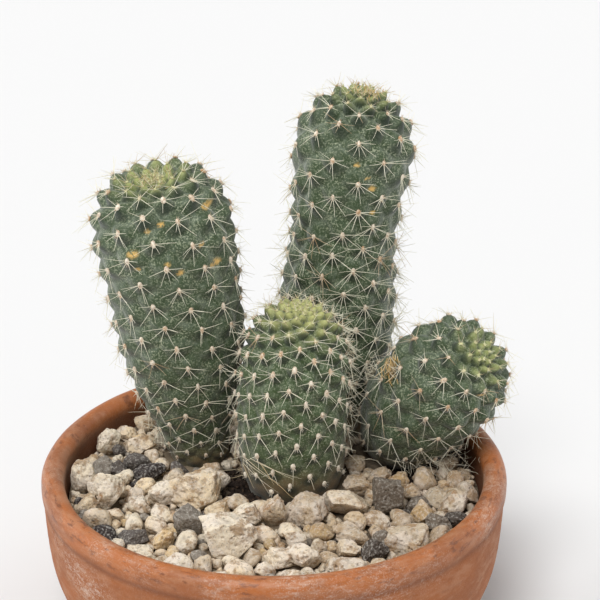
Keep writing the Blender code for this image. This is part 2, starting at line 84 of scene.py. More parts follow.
class Graph:
    """Adds nodes to a node tree and joins them up."""

    def __init__(self, tree: NodeTree) -> None:
        """Takes the tree to work on."""
        self.tree = tree

    def add(self, kind: str, feeds: dict | None = None, **settings: object) -> Node:
        """Adds one node.

        Args:
            kind: the node's type name.
            feeds: input names or numbers, each with a value or another node's output.
            settings: properties of the node itself.

        Returns:
            The new node.
        """
        node = self.tree.nodes.new(kind)
        for name, value in settings.items():
            setattr(node, name, value)
        for name, value in (feeds or {}).items():
            self.feed(node.inputs[name], value)
        return node

    def feed(self, socket: NodeSocket, value: object) -> None:
        """Links an output to a socket, or sets the socket's own value.

        Args:
            socket: the input that is fed.
            value: an output, a number or a colour.
        """
        if isinstance(value, NodeSocket):
            self.tree.links.new(value, socket)
        elif isinstance(value, tuple) and len(value) == 3 and socket.type == "RGBA":
            socket.default_value = (*value, 1.0)
        else:
            socket.default_value = value

    def out(self, kind: str, feeds: dict | None = None, **settings: object) -> NodeSocket:
        """Adds one node and gives its first output."""
        return self.add(kind, feeds, **settings).outputs[0]

    def maths(self, operation: str, first: object, second: object = 0.0,
              clamp: bool = False) -> NodeSocket:
        """One step of arithmetic."""
        return self.out("ShaderNodeMath", {0: first, 1: second},
                        operation=operation, use_clamp=clamp)

    def times(self, first: object, second: object, clamp: bool = False) -> NodeSocket:
        """Multiplies two values."""
        return self.maths("MULTIPLY", first, second, clamp)

    def blend(self, mask: object, low: object, high: object) -> NodeSocket:
        """Mixes two colours by a mask."""
        return self.add("ShaderNodeMix", {0: mask, 6: low, 7: high},
                        data_type="RGBA").outputs[2]

    def spread(self, value: object, low: object, high: object) -> NodeSocket:
        """Stretches a value so that low gives 0 and high gives 1."""
        return self.out("ShaderNodeMapRange", {0: value, 1: low, 2: high},
                        interpolation_type="SMOOTHSTEP")

    def cloud(self, place: object, scale: object, detail: float,
              roughness: float) -> NodeSocket:
        """Soft noise about one half."""
        return self.add("ShaderNodeTexNoise", {"Vector": place, "Scale": scale,
                        "Detail": detail, "Roughness": roughness}).outputs["Fac"]

    def attribute(self, name: str, output: str = "Fac") -> NodeSocket:
        """Reads a value that the mesh carries."""
        return self.add("ShaderNodeAttribute", attribute_name=name).outputs[output]

    def place(self) -> NodeSocket:
        """The place of a point in the object's own frame."""
        return self.add("ShaderNodeTexCoord").outputs["Object"]


def shader_group(name: str, inputs: dict[str, float], output: str) -> ShaderNodeTree:
    """Starts a shader group with a Vector, some numbers and one number out.

    Args:
        name: the group's name.
        inputs: the numbers it takes, with their usual values.
        output: the name of the number it puts out.

    Returns:
        The empty group.
    """
    tree = bpy.data.node_groups.new(name, "ShaderNodeTree")
    tree.interface.new_socket("Vector", in_out="INPUT", socket_type="NodeSocketVector")
    for title, value in inputs.items():
        socket = tree.interface.new_socket(title, in_out="INPUT", socket_type="NodeSocketFloat")
        socket.default_value = value
    tree.interface.new_socket(output, in_out="OUTPUT", socket_type="NodeSocketFloat")
    return tree


def mottle_group() -> ShaderNodeTree:
    """Blotches of noise between two thresholds, as a mask from 0 to 1.

    Returns:
        The group.
    """
    tree = shader_group("Mottle", {"Scale": 100.0, "Low": 0.4, "High": 0.6}, "Mask")
    graph = Graph(tree)
    given = graph.add("NodeGroupInput").outputs
    cloud = graph.cloud(given["Vector"], given["Scale"], 5.0, 0.62)
    mask = graph.spread(cloud, given["Low"], given["High"])
    graph.add("NodeGroupOutput", {"Mask": mask})
    return tree


def pits_group() -> ShaderNodeTree:
    """A height of fine grain with small round pits sunk in it.

    Returns:
        The group.
    """
    tree = shader_group("Pits", {"Scale": 500.0, "Pit": 0.35, "Grain": 0.4}, "Height")
    graph = Graph(tree)
    given = graph.add("NodeGroupInput").outputs
    cells = graph.add("ShaderNodeTexVoronoi", {"Vector": given["Vector"],
                      "Scale": given["Scale"], "Randomness": 1.0}).outputs["Distance"]
    floor = graph.spread(cells, 0.0, given["Pit"])
    finer = graph.times(given["Scale"], 2.3)
    grain = graph.times(graph.cloud(given["Vector"], finer, 6.0, 0.7), given["Grain"])
    graph.add("NodeGroupOutput", {"Height": graph.maths("ADD", floor, grain)})
    return tree


class Effects(Enum):
    """The shader groups that several finishes share."""

    MOTTLE = "Mottle"
    PITS = "Pits"

    def use(self, graph: Graph, place: object, **values: float) -> NodeSocket:
        """Puts the group in a material.

        Args:
            graph: the material's nodes.
            place: the coordinates that the pattern follows.
            values: the group's numbers, by name.

        Returns:
            The group's output.
        """
        makers = {Effects.MOTTLE: mottle_group, Effects.PITS: pits_group}
        tree = bpy.data.node_groups.get(self.value) or makers[self]()
        node = graph.tree.nodes.new("ShaderNodeGroup")
        node.node_tree = tree
        graph.feed(node.inputs["Vector"], place)
        for name, value in values.items():
            graph.feed(node.inputs[name], value)
        return node.outputs[0]


def mottle(graph: Graph, place: object, scale: float, low: float,
           high: float) -> NodeSocket:
    """A mask of blotches: 0 where the noise is under low and 1 where it is over high."""
    return Effects.MOTTLE.use(graph, place, Scale=scale, Low=low, High=high)


# Finishes


@dataclass(frozen=True)
class Finish:
    """What every finish has: a name, a roughness, its relief's depth, sheen and specular."""

    name: str
    roughness: float
    relief: float = 0.0
    sheen: float = 0.0
    specular: float = 0.35

    def colour(self, graph: Graph) -> NodeSocket | Colour:
        """The colour over the surface."""
        raise NotImplementedError

    def height(self, graph: Graph) -> NodeSocket | None:
        """The relief's height over the surface, or None for a smooth one."""
        return None

    def gloss(self, graph: Graph) -> NodeSocket | None:
        """The roughness over the surface, or None where it is even."""
        return None

    def material(self) -> Material:
        """Builds the material.

        Returns:
            A Principled material with the finish's colour, gloss and relief.
        """
        made = bpy.data.materials.new(self.name)
        made.use_nodes = True
        graph = Graph(made.node_tree)
        shader = made.node_tree.nodes["Principled BSDF"]
        shader.inputs["Roughness"].default_value = self.roughness
        shader.inputs["Metallic"].default_value = 0.0
        shader.inputs["Specular IOR Level"].default_value = self.specular
        shader.inputs["Sheen Weight"].default_value = self.sheen
        graph.feed(shader.inputs["Base Color"], self.colour(graph))
        gloss = self.gloss(graph)
        if gloss is not None:
            graph.feed(shader.inputs["Roughness"], gloss)
        height = self.height(graph)
        if height is not None:
            bump = graph.add("ShaderNodeBump", {"Height": height, "Strength": 1.0,
                             "Distance": self.relief})
            graph.feed(shader.inputs["Normal"], bump.outputs["Normal"])
        return made


@dataclass(frozen=True)
class SkinFinish(Finish):
    """Cactus skin: deep green under a cool veil, with a fine pale stipple between the areoles.

    It is fresh yellow-green in the crown, palest on the crown's tips, and corky at the foot.
    heart is the share of veil and stipple that the middle of a tubercle keeps, and the weights
    say how strongly the stipple, the pale tips and the shade under the areoles cover the green.
    """

    deep: Colour = (0.041, 0.071, 0.026)
    cool: Colour = (0.150, 0.190, 0.130)
    pale: Colour = (0.41, 0.45, 0.30)
    fresh: Colour = (0.38, 0.44, 0.10)
    tip: Colour = (0.55, 0.57, 0.24)
    cork: Colour = (0.18, 0.128, 0.060)
    scar: Colour = (0.72, 0.46, 0.14)
    hollow: Colour = (0.014, 0.028, 0.013)
    stipple: float = 2000.0
    heart: float = 0.3
    stipple_weight: float = 0.84
    tip_weight: float = 0.75
    shade_weight: float = 0.95

    def colour(self, graph: Graph) -> NodeSocket:
        """Green, veil and stipple, then crown, cork, shade and scars over them.

        Args:
            graph: the material's nodes.

        Returns:
            The colour.
        """
        place = graph.place()
        wide = mottle(graph, place, 160.0, 0.35, 0.7)
        veil = mottle(graph, place, 430.0, 0.42, 0.72)
        dots = mottle(graph, place, self.stipple, 0.48, 0.64)
        between = graph.times(graph.attribute("between"), 1 - self.heart)
        between = graph.maths("ADD", between, self.heart)
        skin = graph.blend(graph.times(veil, between), self.deep, self.cool)
        dots = graph.times(dots, graph.maths("ADD", wide, 0.45), clamp=True)
        dots = graph.times(dots, between)
        skin = graph.blend(graph.times(dots, self.stipple_weight), skin, self.pale)
        skin = graph.blend(graph.attribute("fresh"), skin, self.fresh)
        tip = graph.times(graph.attribute("tip"), self.tip_weight)
        skin = graph.blend(tip, skin, self.tip)
        cork = graph.times(graph.attribute("cork"), graph.maths("ADD", wide, 0.55), clamp=True)
        skin = graph.blend(cork, skin, self.cork)
        # Painted shade below each areole, blended toward a near-black green.
        shade = graph.times(graph.attribute("shade"), self.shade_weight)
        skin = graph.blend(shade, skin, self.hollow)
        edge = mottle(graph, place, 900.0, 0.38, 0.5)
        return graph.blend(graph.times(graph.attribute("scar"), edge), skin, self.scar)

    def height(self, graph: Graph) -> NodeSocket:
        """Fine grain like velvet."""
        return Effects.PITS.use(graph, graph.place(), Scale=2400.0, Pit=0.5, Grain=0.5)


@dataclass(frozen=True)
class SpineFinish(Finish):
    """Spines: brown where they leave the wool, then ivory, some of them brown throughout."""

    root: Colour = (0.42, 0.22, 0.09)
    shaft: Colour = (0.92, 0.89, 0.71)
    brown: Colour = (0.44, 0.25, 0.10)

    def colour(self, graph: Graph) -> NodeSocket:
        """Brown at the root, then the spine's own tone."""
        shaft = graph.blend(graph.attribute("tone"), self.shaft, self.brown)
        return graph.blend(graph.spread(graph.attribute("along"), -0.05, 0.15), self.root, shaft)


@dataclass(frozen=True)
class WoolFinish(Finish):
    """Areole wool: from cream to brown as each tuft carries it, and pale yellow in a crown.

    fluff and fluff_shift say how far the pale fluff shifts the tone, and base_shade_weight how
    dark the painted shade on the tuft's underside and in its dents is.
    """

    white: Colour = (0.93, 0.86, 0.72)
    rose: Colour = (0.55, 0.33, 0.16)
    young: Colour = (0.72, 0.72, 0.40)
    base: Colour = (0.20, 0.085, 0.045)
    fluff: float = 0.6
    fluff_shift: float = 0.28
    base_shade_weight: float = 0.7

    def colour(self, graph: Graph) -> NodeSocket:
        """The tuft's own tone with paler fluff, and painted shade on its underside and in its
        dents.

        Args:
            graph: the material's nodes.

        Returns:
            The colour.
        """
        fluff = mottle(graph, graph.place(), 1900.0, 0.4, 0.6)
        tone = graph.maths("ADD", graph.attribute("tone"), graph.times(fluff, self.fluff))
        tone = graph.maths("SUBTRACT", tone, self.fluff_shift, clamp=True)
        wool = graph.blend(tone, self.white, self.rose)
        wool = graph.blend(graph.attribute("fresh"), wool, self.young)
        # Painted shade on the tuft's underside and in its dents.
        base = graph.times(graph.attribute("hollow"), self.base_shade_weight)
        return graph.blend(base, wool, self.base)


@dataclass(frozen=True)
class PumiceFinish(Finish):
    """Pumice: each stone's own tint, ochre stains, rust, dark pits, fine grain, and painted shade
    in its hollows and on its underside.

    The weights say how strongly each of them covers the tint. Blush, stains and rust show on
    pale stones only.
    """

    stain: Colour = (0.36, 0.20, 0.08)
    rust: Colour = (0.36, 0.18, 0.060)
    blush: Colour = (0.95, 0.84, 0.74)
    salt: Colour = (0.92, 0.88, 0.80)
    pit: Colour = (0.10, 0.070, 0.045)
    blush_weight: float = 0.55
    stain_weight: float = 0.72
    rust_weight: float = 0.7
    salt_weight: float = 0.4
    speck_weight: float = 0.42
    painted_shade_weight: float = 0.48
    painted_shade_darkness: float = 0.75

    def colour(self, graph: Graph) -> NodeSocket:
        """The tint with blush, stains, rust, salt grain, specks and painted shade in hollows.

        Args:
            graph: the material's nodes.

        Returns:
            The colour.
        """
        place = graph.place()
        stone = graph.attribute("tint", "Color")
        brightness = graph.out("ShaderNodeSeparateColor", {0: stone})
        pale = graph.spread(brightness, 0.35, 0.7)
        for scale, low, high, weight, colour in (
                (150.0, 0.45, 0.62, self.blush_weight, self.blush),
                (270.0, 0.505, 0.61, self.stain_weight, self.stain),
                (190.0, 0.595, 0.66, self.rust_weight, self.rust)):
            patches = mottle(graph, place, scale, low, high)
            mask = graph.times(graph.times(patches, pale), weight)
            stone = graph.blend(mask, stone, colour)
        grain = mottle(graph, place, 1500.0, 0.48, 0.66)
        stone = graph.blend(graph.times(grain, self.salt_weight), stone, self.salt)
        specks = mottle(graph, place, 1250.0, 0.57, 0.66)
        stone = graph.blend(graph.times(specks, self.speck_weight), stone, self.pit)
        # Painted shade in the stone's dents and pits and on its underside, toward the speck
        # colour.
        hollow = graph.times(graph.attribute("hollow"), self.painted_shade_weight)
        return graph.blend(hollow, stone, graph.blend(self.painted_shade_darkness, stone, self.pit))

    def height(self, graph: Graph) -> NodeSocket:
        """Open pores."""
        return Effects.PITS.use(graph, graph.place(), Scale=700.0, Pit=0.42, Grain=1.3)


@dataclass(frozen=True)
class TerracottaFinish(Finish):
    """Unglazed terracotta: mottled orange in turning streaks, pale bloom and fine pores.

    turned is the mesh's own coordinates, drawn out along the turning. The weights say how
    strongly the fine dust, the scorched streaks, the painted shade in the crease under the rim and
    on the inner wall below the lip, the bloom and its loose grains cover the clay, and rubbed how
    much smoother the lip is.
    """

    clay: Colour = (0.340, 0.112, 0.037)
    ember: Colour = (0.44, 0.135, 0.034)
    scorch_and_shade: Colour = (0.17, 0.055, 0.024)
    dusty: Colour = (0.52, 0.270, 0.155)
    bloom: Colour = (0.72, 0.60, 0.51)
    damp: Colour = (0.11, 0.045, 0.022)
    fine_weight: float = 0.12
    scorch_weight: float = 0.6
    crease_shade_weight: float = 0.5
    inner_wall_shade_weight: float = 0.8
    bloom_weight: float = 0.42
    grain_weight: float = 0.06
    rubbed: float = 0.34

    def colour(self, graph: Graph) -> NodeSocket:
        """Clay with glowing, dusty and scorched streaks, paler sides as painted light, painted
        shade in the crease and on the inner wall, then bloom where the mesh carries it.

        Args:
            graph: the material's nodes.

        Returns:
            The colour.
        """
        place, turned = graph.place(), graph.attribute("turned", "Vector")
        lip = graph.attribute("lip")
        glow = mottle(graph, turned, 60.0, 0.42, 0.6)
        glow = graph.times(glow, graph.maths("ADD", lip, 0.45), clamp=True)
        clay = graph.blend(glow, self.clay, self.ember)
        fine = mottle(graph, place, 900.0, 0.35, 0.75)
        clay = graph.blend(graph.times(fine, self.fine_weight), clay, self.dusty)
        # Pale dust all round, stronger on the left and right sides as painted light.
        pale_dust_and_light = mottle(graph, turned, 170.0, 0.42, 0.66)
        clay = graph.blend(graph.times(pale_dust_and_light, graph.attribute("dusty")), clay, self.dusty)
        scorch = mottle(graph, turned, 230.0, 0.545, 0.68)
        scorch = graph.times(scorch, graph.maths("ADD", lip, 0.3))
        clay = graph.blend(graph.times(scorch, self.scorch_weight), clay, self.scorch_and_shade)
        # Painted shade along the crease under the rim and on the inner wall below the lip.
        for name, weight, colour in (("crease", self.crease_shade_weight, self.scorch_and_shade),
                                     ("damp", self.inner_wall_shade_weight, self.damp)):
            clay = graph.blend(graph.times(graph.attribute(name), weight), clay, colour)
        film = mottle(graph, turned, 420.0, 0.46, 0.68)
        grains = mottle(graph, place, 2200.0, 0.50, 0.66)
        crust = graph.times(graph.maths("ADD", film, grains), self.bloom_weight)
        crust = graph.times(crust, graph.attribute("bloom"))
        crust = graph.maths("ADD", crust, graph.times(grains, self.grain_weight), clamp=True)
        return graph.blend(crust, clay, self.bloom)

    def gloss(self, graph: Graph) -> NodeSocket:
        """Smoother where hands have rubbed the lip."""
        rubbed = graph.times(graph.attribute("lip"), self.rubbed)
        return graph.maths("SUBTRACT", self.roughness, rubbed)

    def height(self, graph: Graph) -> NodeSocket:
        """Pores and the grog in the clay."""
        return Effects.PITS.use(graph, graph.place(), Scale=900.0, Pit=0.22, Grain=0.8)


@dataclass(frozen=True)
class SoilFinish(Finish):
    """Dark crumbly soil with paler crumbs, under pale dust where the mesh carries it, thinner
    toward the right as painted shade.
    """

    dark: Colour = (0.022, 0.013, 0.009)
    pale_dust_and_light: Colour = (0.34, 0.265, 0.180)
    crumb: Colour = (0.10, 0.062, 0.040)

    def colour(self, graph: Graph) -> NodeSocket:
        """Crumbs on dark, then the dust of the stones, thinner toward the right as painted shade.
        """
        soil = graph.blend(mottle(graph, graph.place(), 900.0, 0.5, 0.68), self.dark, self.crumb)
        return graph.blend(graph.attribute("dusty"), soil, self.pale_dust_and_light)

    def height(self, graph: Graph) -> NodeSocket:
        """Coarse crumbs."""
        return Effects.PITS.use(graph, graph.place(), Scale=420.0, Pit=0.6, Grain=1.4)


@dataclass(frozen=True)
class PlainFinish(Finish):
    """One even colour, for the floor."""

    tone: Colour = (0.8, 0.8, 0.8)

    def colour(self, graph: Graph) -> Colour:
        """The colour for the shader's own socket."""
        return self.tone


SKIN = SkinFinish("skin", 0.5, 0.00006, 0.30)
PALE_SKIN = SkinFinish("young_skin", 0.5, 0.00006, 0.30, deep=(0.050, 0.084, 0.026),
                       cool=(0.135, 0.180, 0.105), fresh=(0.66, 0.64, 0.20))
SPINE = SpineFinish("spine", 0.4)
DRY = SpineFinish("dry_bristle", 0.6, root=(0.60, 0.50, 0.34), shaft=(0.82, 0.77, 0.62),
                  brown=(0.70, 0.44, 0.12))
WOOL = WoolFinish("wool", 0.95, sheen=0.3)
PUMICE = PumiceFinish("pumice", 0.95, 0.0004)
TERRACOTTA = TerracottaFinish("terracotta", 0.72, 0.00008)
SOIL = SoilFinish("soil", 0.97, 0.0005)
FLOOR = PlainFinish("floor", 0.9, specular=0.5, tone=(0.803, 0.803, 0.803))


# Meshes and growth


def linked(name: str, data: ID) -> Object:
    """Makes an object at the origin of the scene.

    Args:
        name: the object's name.
        data: its mesh, camera or light.

    Returns:
        The object.
    """
    thing = bpy.data.objects.new(name, data)
    bpy.context.scene.collection.objects.link(thing)
    return thing


def mesh_object(name: str, points: Array, faces: list[tuple[int, ...]] | Array = (),
                edges: list[tuple[int, int]] = (), smooth: bool = True) -> Object:
    """Makes an object at the origin from points and what joins them.

    Args:
        name: the object's name.
        points: rows of x, y and z.
        faces: the corners of each face.
        edges: the ends of each loose edge.
        smooth: whether the faces are shaded smooth.

    Returns:
        The object, linked to the scene.
    """
    mesh = bpy.data.meshes.new(name)
    mesh.from_pydata([tuple(row) for row in points], edges, [tuple(face) for face in faces])
    if smooth and len(mesh.polygons):
        mesh.shade_smooth()
    return linked(name, mesh)


def rows_of(mesh: Mesh) -> Array:
    """Reads the points of a mesh.

    Args:
        mesh: the mesh.

    Returns:
        Rows of x, y and z.
    """
    points = np.empty(len(mesh.vertices) * 3)
    mesh.vertices.foreach_get("co", points)
    return points.reshape(-1, 3)


def finished_mesh(thing: Object) -> Mesh:
    """The mesh that an object's modifiers make."""
    graph = bpy.context.evaluated_depsgraph_get()
    return bpy.data.meshes.new_from_object(thing.evaluated_get(graph))


def carry(thing: Object, **attributes: Array) -> None:
    """Stores numbers, vectors or colours on the points of a mesh.

    Args:
        thing: the object whose mesh carries them.
        attributes: the values of each attribute, a row for each point.
    """
    kinds = {1: ("FLOAT", "value"), 3: ("FLOAT_VECTOR", "vector"), 4: ("FLOAT_COLOR", "color")}
    for name, values in attributes.items():
        values = np.asarray(values)
        kind, field_name = kinds[1 if values.ndim == 1 else values.shape[1]]
        if values.dtype.kind == "i":
            kind, values = "INT", values.astype(np.int32)
        else:
            values = values.astype(np.float32)
        attribute = thing.data.attributes.new(name, kind, "POINT")
        attribute.data.foreach_set(field_name, values.ravel())


def grid_faces(rings: int, columns: int) -> list[tuple[int, ...]]:
    """Quads of a closed tube of points, ring by ring from the bottom.

    Args:
        rings: how many rings of points there are.
        columns: how many points a ring has.

    Returns:
        The corners of each quad.
    """
    faces = []
    for ring in range(rings - 1):
        for column in range(columns):
            across = (column + 1) % columns
            low, high = ring * columns, (ring + 1) * columns
            faces.append((low + column, low + across, high + across, high + column))
    return faces


class Growth:
    """A Geometry Nodes tree with named inputs that turns marked points into a piece."""

    def __init__(self, name: str, inputs: dict[str, tuple[str, object]]) -> None:
        """Starts the tree.

        Args:
            name: the tree's name.
            inputs: each input's name with its socket type and usual value; the material's
                is added to them.
        """
        self.tree = bpy.data.node_groups.new(name, "GeometryNodeTree")
        new_socket = self.tree.interface.new_socket
        new_socket("Geometry", in_out="INPUT", socket_type="NodeSocketGeometry")
        for title, (kind, value) in {**inputs, "Material": ("NodeSocketMaterial", None)}.items():
            socket = new_socket(title, in_out="INPUT", socket_type=kind)
            if value is not None:
                socket.default_value = value
        new_socket("Geometry", in_out="OUTPUT", socket_type="NodeSocketGeometry")
        self.graph = Graph(self.tree)
        self.given = self.graph.add("NodeGroupInput").outputs

    def named(self, name: str, kind: str = "FLOAT") -> NodeSocket:
        """Reads an attribute of the points."""
        node = self.graph.add("GeometryNodeInputNamedAttribute", {"Name": name}, data_type=kind)
        return node.outputs["Attribute"]

    def close(self, instances: NodeSocket) -> None:
        """Makes the instances real, gives them the material and ends the tree.

        Args:
            instances: what the tree has made so far.
        """
        real = self.graph.add("GeometryNodeRealizeInstances", {"Geometry": instances})
        dressed = self.graph.add("GeometryNodeSetMaterial", {"Geometry": real.outputs[0],
                                 "Material": self.given["Material"]})
        self.graph.add("NodeGroupOutput", {"Geometry": dressed.outputs[0]})

    def grow(self, points: Object, finish: Material, name: str, **values: object) -> Object:
        """Runs the tree on an object of points and keeps the result as a plain mesh.

        Args:
            points: the marked points, which are removed afterwards.
            finish: the material of the piece.
            name: the new object's name.
            values: the tree's other inputs, with underscores for spaces.

        Returns:
            The grown piece.
        """
        modifier = points.modifiers.new("Growth", "NODES")
        modifier.node_group = self.tree
        wanted = {title.replace("_", " "): value for title, value in values.items()}
        wanted["Material"] = finish
        for item in self.tree.interface.items_tree:
            if item.in_out == "INPUT" and item.name in wanted:
                modifier[item.identifier] = wanted[item.name]
        mesh = finished_mesh(points)
        bpy.data.objects.remove(points, do_unlink=True)
        mesh.name = name
        return linked(name, mesh)


def bristle_growth() -> Growth:
    """Grows a thin bent cone on every point.

    The points carry aim, the way the cone points, length, girth and roll.

    Returns:
        The tree.
    """
    growth = Growth("Bristles", {
        "Sides": ("NodeSocketInt", 4), "Segments": ("NodeSocketInt", 2),
        "Point": ("NodeSocketFloat", 0.2), "Bend": ("NodeSocketFloat", 0.9)})
    graph, given = growth.graph, growth.given
    cone = graph.add("GeometryNodeMeshCone", {
        "Vertices": given["Sides"], "Side Segments": given["Segments"],
        "Radius Top": given["Point"], "Radius Bottom": 0.5, "Depth": 1.0},
        fill_type="NGON").outputs["Mesh"]
    place = graph.out("GeometryNodeInputPosition")
    height = graph.add("ShaderNodeSeparateXYZ", {0: place}).outputs["Z"]
    cone = graph.out("GeometryNodeStoreNamedAttribute", {"Geometry": cone, "Name": "along",
                     "Value": height}, data_type="FLOAT", domain="POINT")
    sideways = graph.times(graph.times(height, height), given["Bend"])
    girth, length = growth.named("girth"), growth.named("length")
    shift = graph.out("ShaderNodeCombineXYZ", {"X": sideways})
    bent = graph.out("GeometryNodeSetPosition", {"Geometry": cone, "Offset": shift})
    aim = graph.out("FunctionNodeAlignRotationToVector",
                    {"Vector": growth.named("aim", "FLOAT_VECTOR")}, axis="Z")
    angles = graph.out("ShaderNodeCombineXYZ", {"Z": growth.named("roll")})
    roll = graph.out("FunctionNodeEulerToRotation", {0: angles})
    turn = graph.out("FunctionNodeRotateRotation", {"Rotation": aim, "Rotate By": roll},
                     rotation_space="LOCAL")
    scale = graph.out("ShaderNodeCombineXYZ", {"X": girth, "Y": girth, "Z": length})
    made = graph.out("GeometryNodeInstanceOnPoints", {"Points": given["Geometry"],
                     "Instance": bent, "Rotation": turn, "Scale": scale})
    growth.close(made)
    return growth


def strand_growth() -> Growth:
    """Gives loose lines of points a round section; the points carry girth, as a diameter.

    Returns:
        The tree.
    """
    growth = Growth("Strands", {"Sides": ("NodeSocketInt", 3)})
    graph, given = growth.graph, growth.given
    line = graph.out("GeometryNodeMeshToCurve", {0: given["Geometry"]})
    section = graph.out("GeometryNodeCurvePrimitiveCircle", {
        "Resolution": given["Sides"], "Radius": 0.5}, mode="RADIUS")
    tube = graph.out("GeometryNodeCurveToMesh", {"Curve": line, "Profile Curve": section,
                     "Scale": growth.named("girth"), "Fill Caps": True})
    growth.close(tube)
    return growth


def scatter_growth() -> Growth:
    """Puts one of a few small shapes on every point.

    The points carry kind, the shape's number, size along three axes, and turn, as angles.

    Returns:
        The tree.
    """
    growth = Growth("Scatter", {"Shapes": ("NodeSocketCollection", None)})
    graph, given = growth.graph, growth.given
    shapes = graph.add("GeometryNodeCollectionInfo", {
        "Collection": given["Shapes"], "Separate Children": True, "Reset Children": True})
    turn = graph.out("FunctionNodeEulerToRotation", {0: growth.named("turn", "FLOAT_VECTOR")})
    made = graph.out("GeometryNodeInstanceOnPoints", {
        "Points": given["Geometry"], "Instance": shapes.outputs[0], "Pick Instance": True,
        "Instance Index": growth.named("kind", "INT"), "Rotation": turn,
        "Scale": growth.named("size", "FLOAT_VECTOR")})
    growth.close(made)
    return growth


def seat(piece: Object, slot: str, *nodes: str) -> None:
    """Lets a piece ride on the part, hides the solids that it stands for and logs its slot.

    Args:
        piece: the finished piece.
        slot: the name of its material slot, which is logged.
        nodes: the solids that it replaces.
    """
    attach(piece, "root")
    if nodes:
        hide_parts(*nodes)
    log.info("%s: %d faces, slot %s", piece.name, len(piece.data.polygons), slot)


# Stems


TUBERCLE_RISE = 0.0014
CREASE_ROUNDNESS = 0.14
CREASE_POWER = 2.2
CROWN_RISE = 0.0010
SKIN_LIFT = 0.0004
REFERENCE_SHARE = 0.7
AXIS_STEPS = 1200
FINE_STEPS = 4000
CHUNK = 4000
NEAR_SHARE = 1e-3
DENT_RIM = 0.0125
DENT_MIDDLE = 0.0035
UNEVEN_RISE = (0.82, 1.14)
CROWDED_RISE = 0.66
KEPT_RISE = 0.72
SHADE_WIDTH = 0.0015
SHADE_WIDENING = 0.38
SHADE_START = 0.0010
SHADE_END = (0.0044, 0.0014)
CORK_FADE = 0.006
FOOT_EASE = 1.3
SWIRL_GAP = 0.0048
TIP_REACH = 0.0010
LAST_AREOLE = 0.0012
COLLAR_Z = 0.0375
COLLAR_DEPTH = 0.004
WOOL_Z = 0.0415
BED_Z = 0.0395
WOOL_SIZE = (0.00112, 0.00180, 0.0009)
WOOL_GIRTH = 0.011
WOOL_LIFT = 0.0001
HAIR_LIFT = 0.0002
SPINE_START = 0.0002
DARK_TONES = (0.35, 0.9)
PALE_TONES = (0.0, 0.12)
TUFT_SHAPES = 4
TUFT_SEED = 3
HAIRS = 12
HAIR_GIRTH = 0.00010
HAIR_LENGTHS = (0.0005, 0.0011)
TUFT_REACH = 0.00065


def smooth_step(value: Array, low: float, high: float) -> Array:
    """0 below low, 1 above high and a smooth rise between; low may be the larger."""
    part = np.clip((value - low) / (high - low), 0.0, 1.0)
    return part * part * (3 - 2 * part)


def unit(rows: Array) -> Array:
    """Rows scaled to length 1."""
    return rows / np.maximum(np.linalg.norm(rows, axis=-1, keepdims=True), 1e-12)


@dataclass(frozen=True)
class Areoles:
    """The areoles of a stem, row by row from low to high.

    down is the way down the skin, radii the stem's radius there, shares their places along its
    axis, and rises how far each tubercle stands out.
    """

    points: Array
    normals: Array
    down: Array
    radii: Array
    shares: Array
    rises: Array


@dataclass(frozen=True)
class Scar:
    """A healed mark on the side toward the camera: x, z and half its width."""

    x: float
    z: float
    reach: float


@dataclass(frozen=True)
class Spines:
    """How the areoles of a stem are armed, each pair from the foot to the crown.

    count is how many there are in an areole, length how long they are, lift how many degrees
    they rise from the skin, spread how far round they reach from straight down, and brown how
    many of them are brown. uneven, sway, tilts and reaches say how far single spines differ in
    number, bearing, lift and length.
    """

    count: Pair
    length: Pair
    lift: Pair
    spread: Pair
    brown: float
    girth: float = 0.00016
    uneven: float = 1.3
    sway: float = 18
    tilts: Pair = (-14, 20)
    reaches: Pair = (0.5, 1.2)


@dataclass(frozen=True)
class CrownSpines:
    """How the spines change from the side to the middle of a crown.

    fewer, shorter and thinner are the shares by which they lose, lift and spread the degrees
    that they gain, brown the share that turns brown, edge and middle the stem's radius where
    the change starts and is full, and last the radius inside which an areole has few of them.
    """

    fewer: float = 0.1
    shorter: float = 0.6
    thinner: float = 0.25
    lift: float = 26
    spread: float = 45
    brown: float = 0.7
    edge: float = 0.0095
    middle: float = 0.0040
    last: float = 0.0030
    few: int = 3


CROWN_SPINES = CrownSpines()


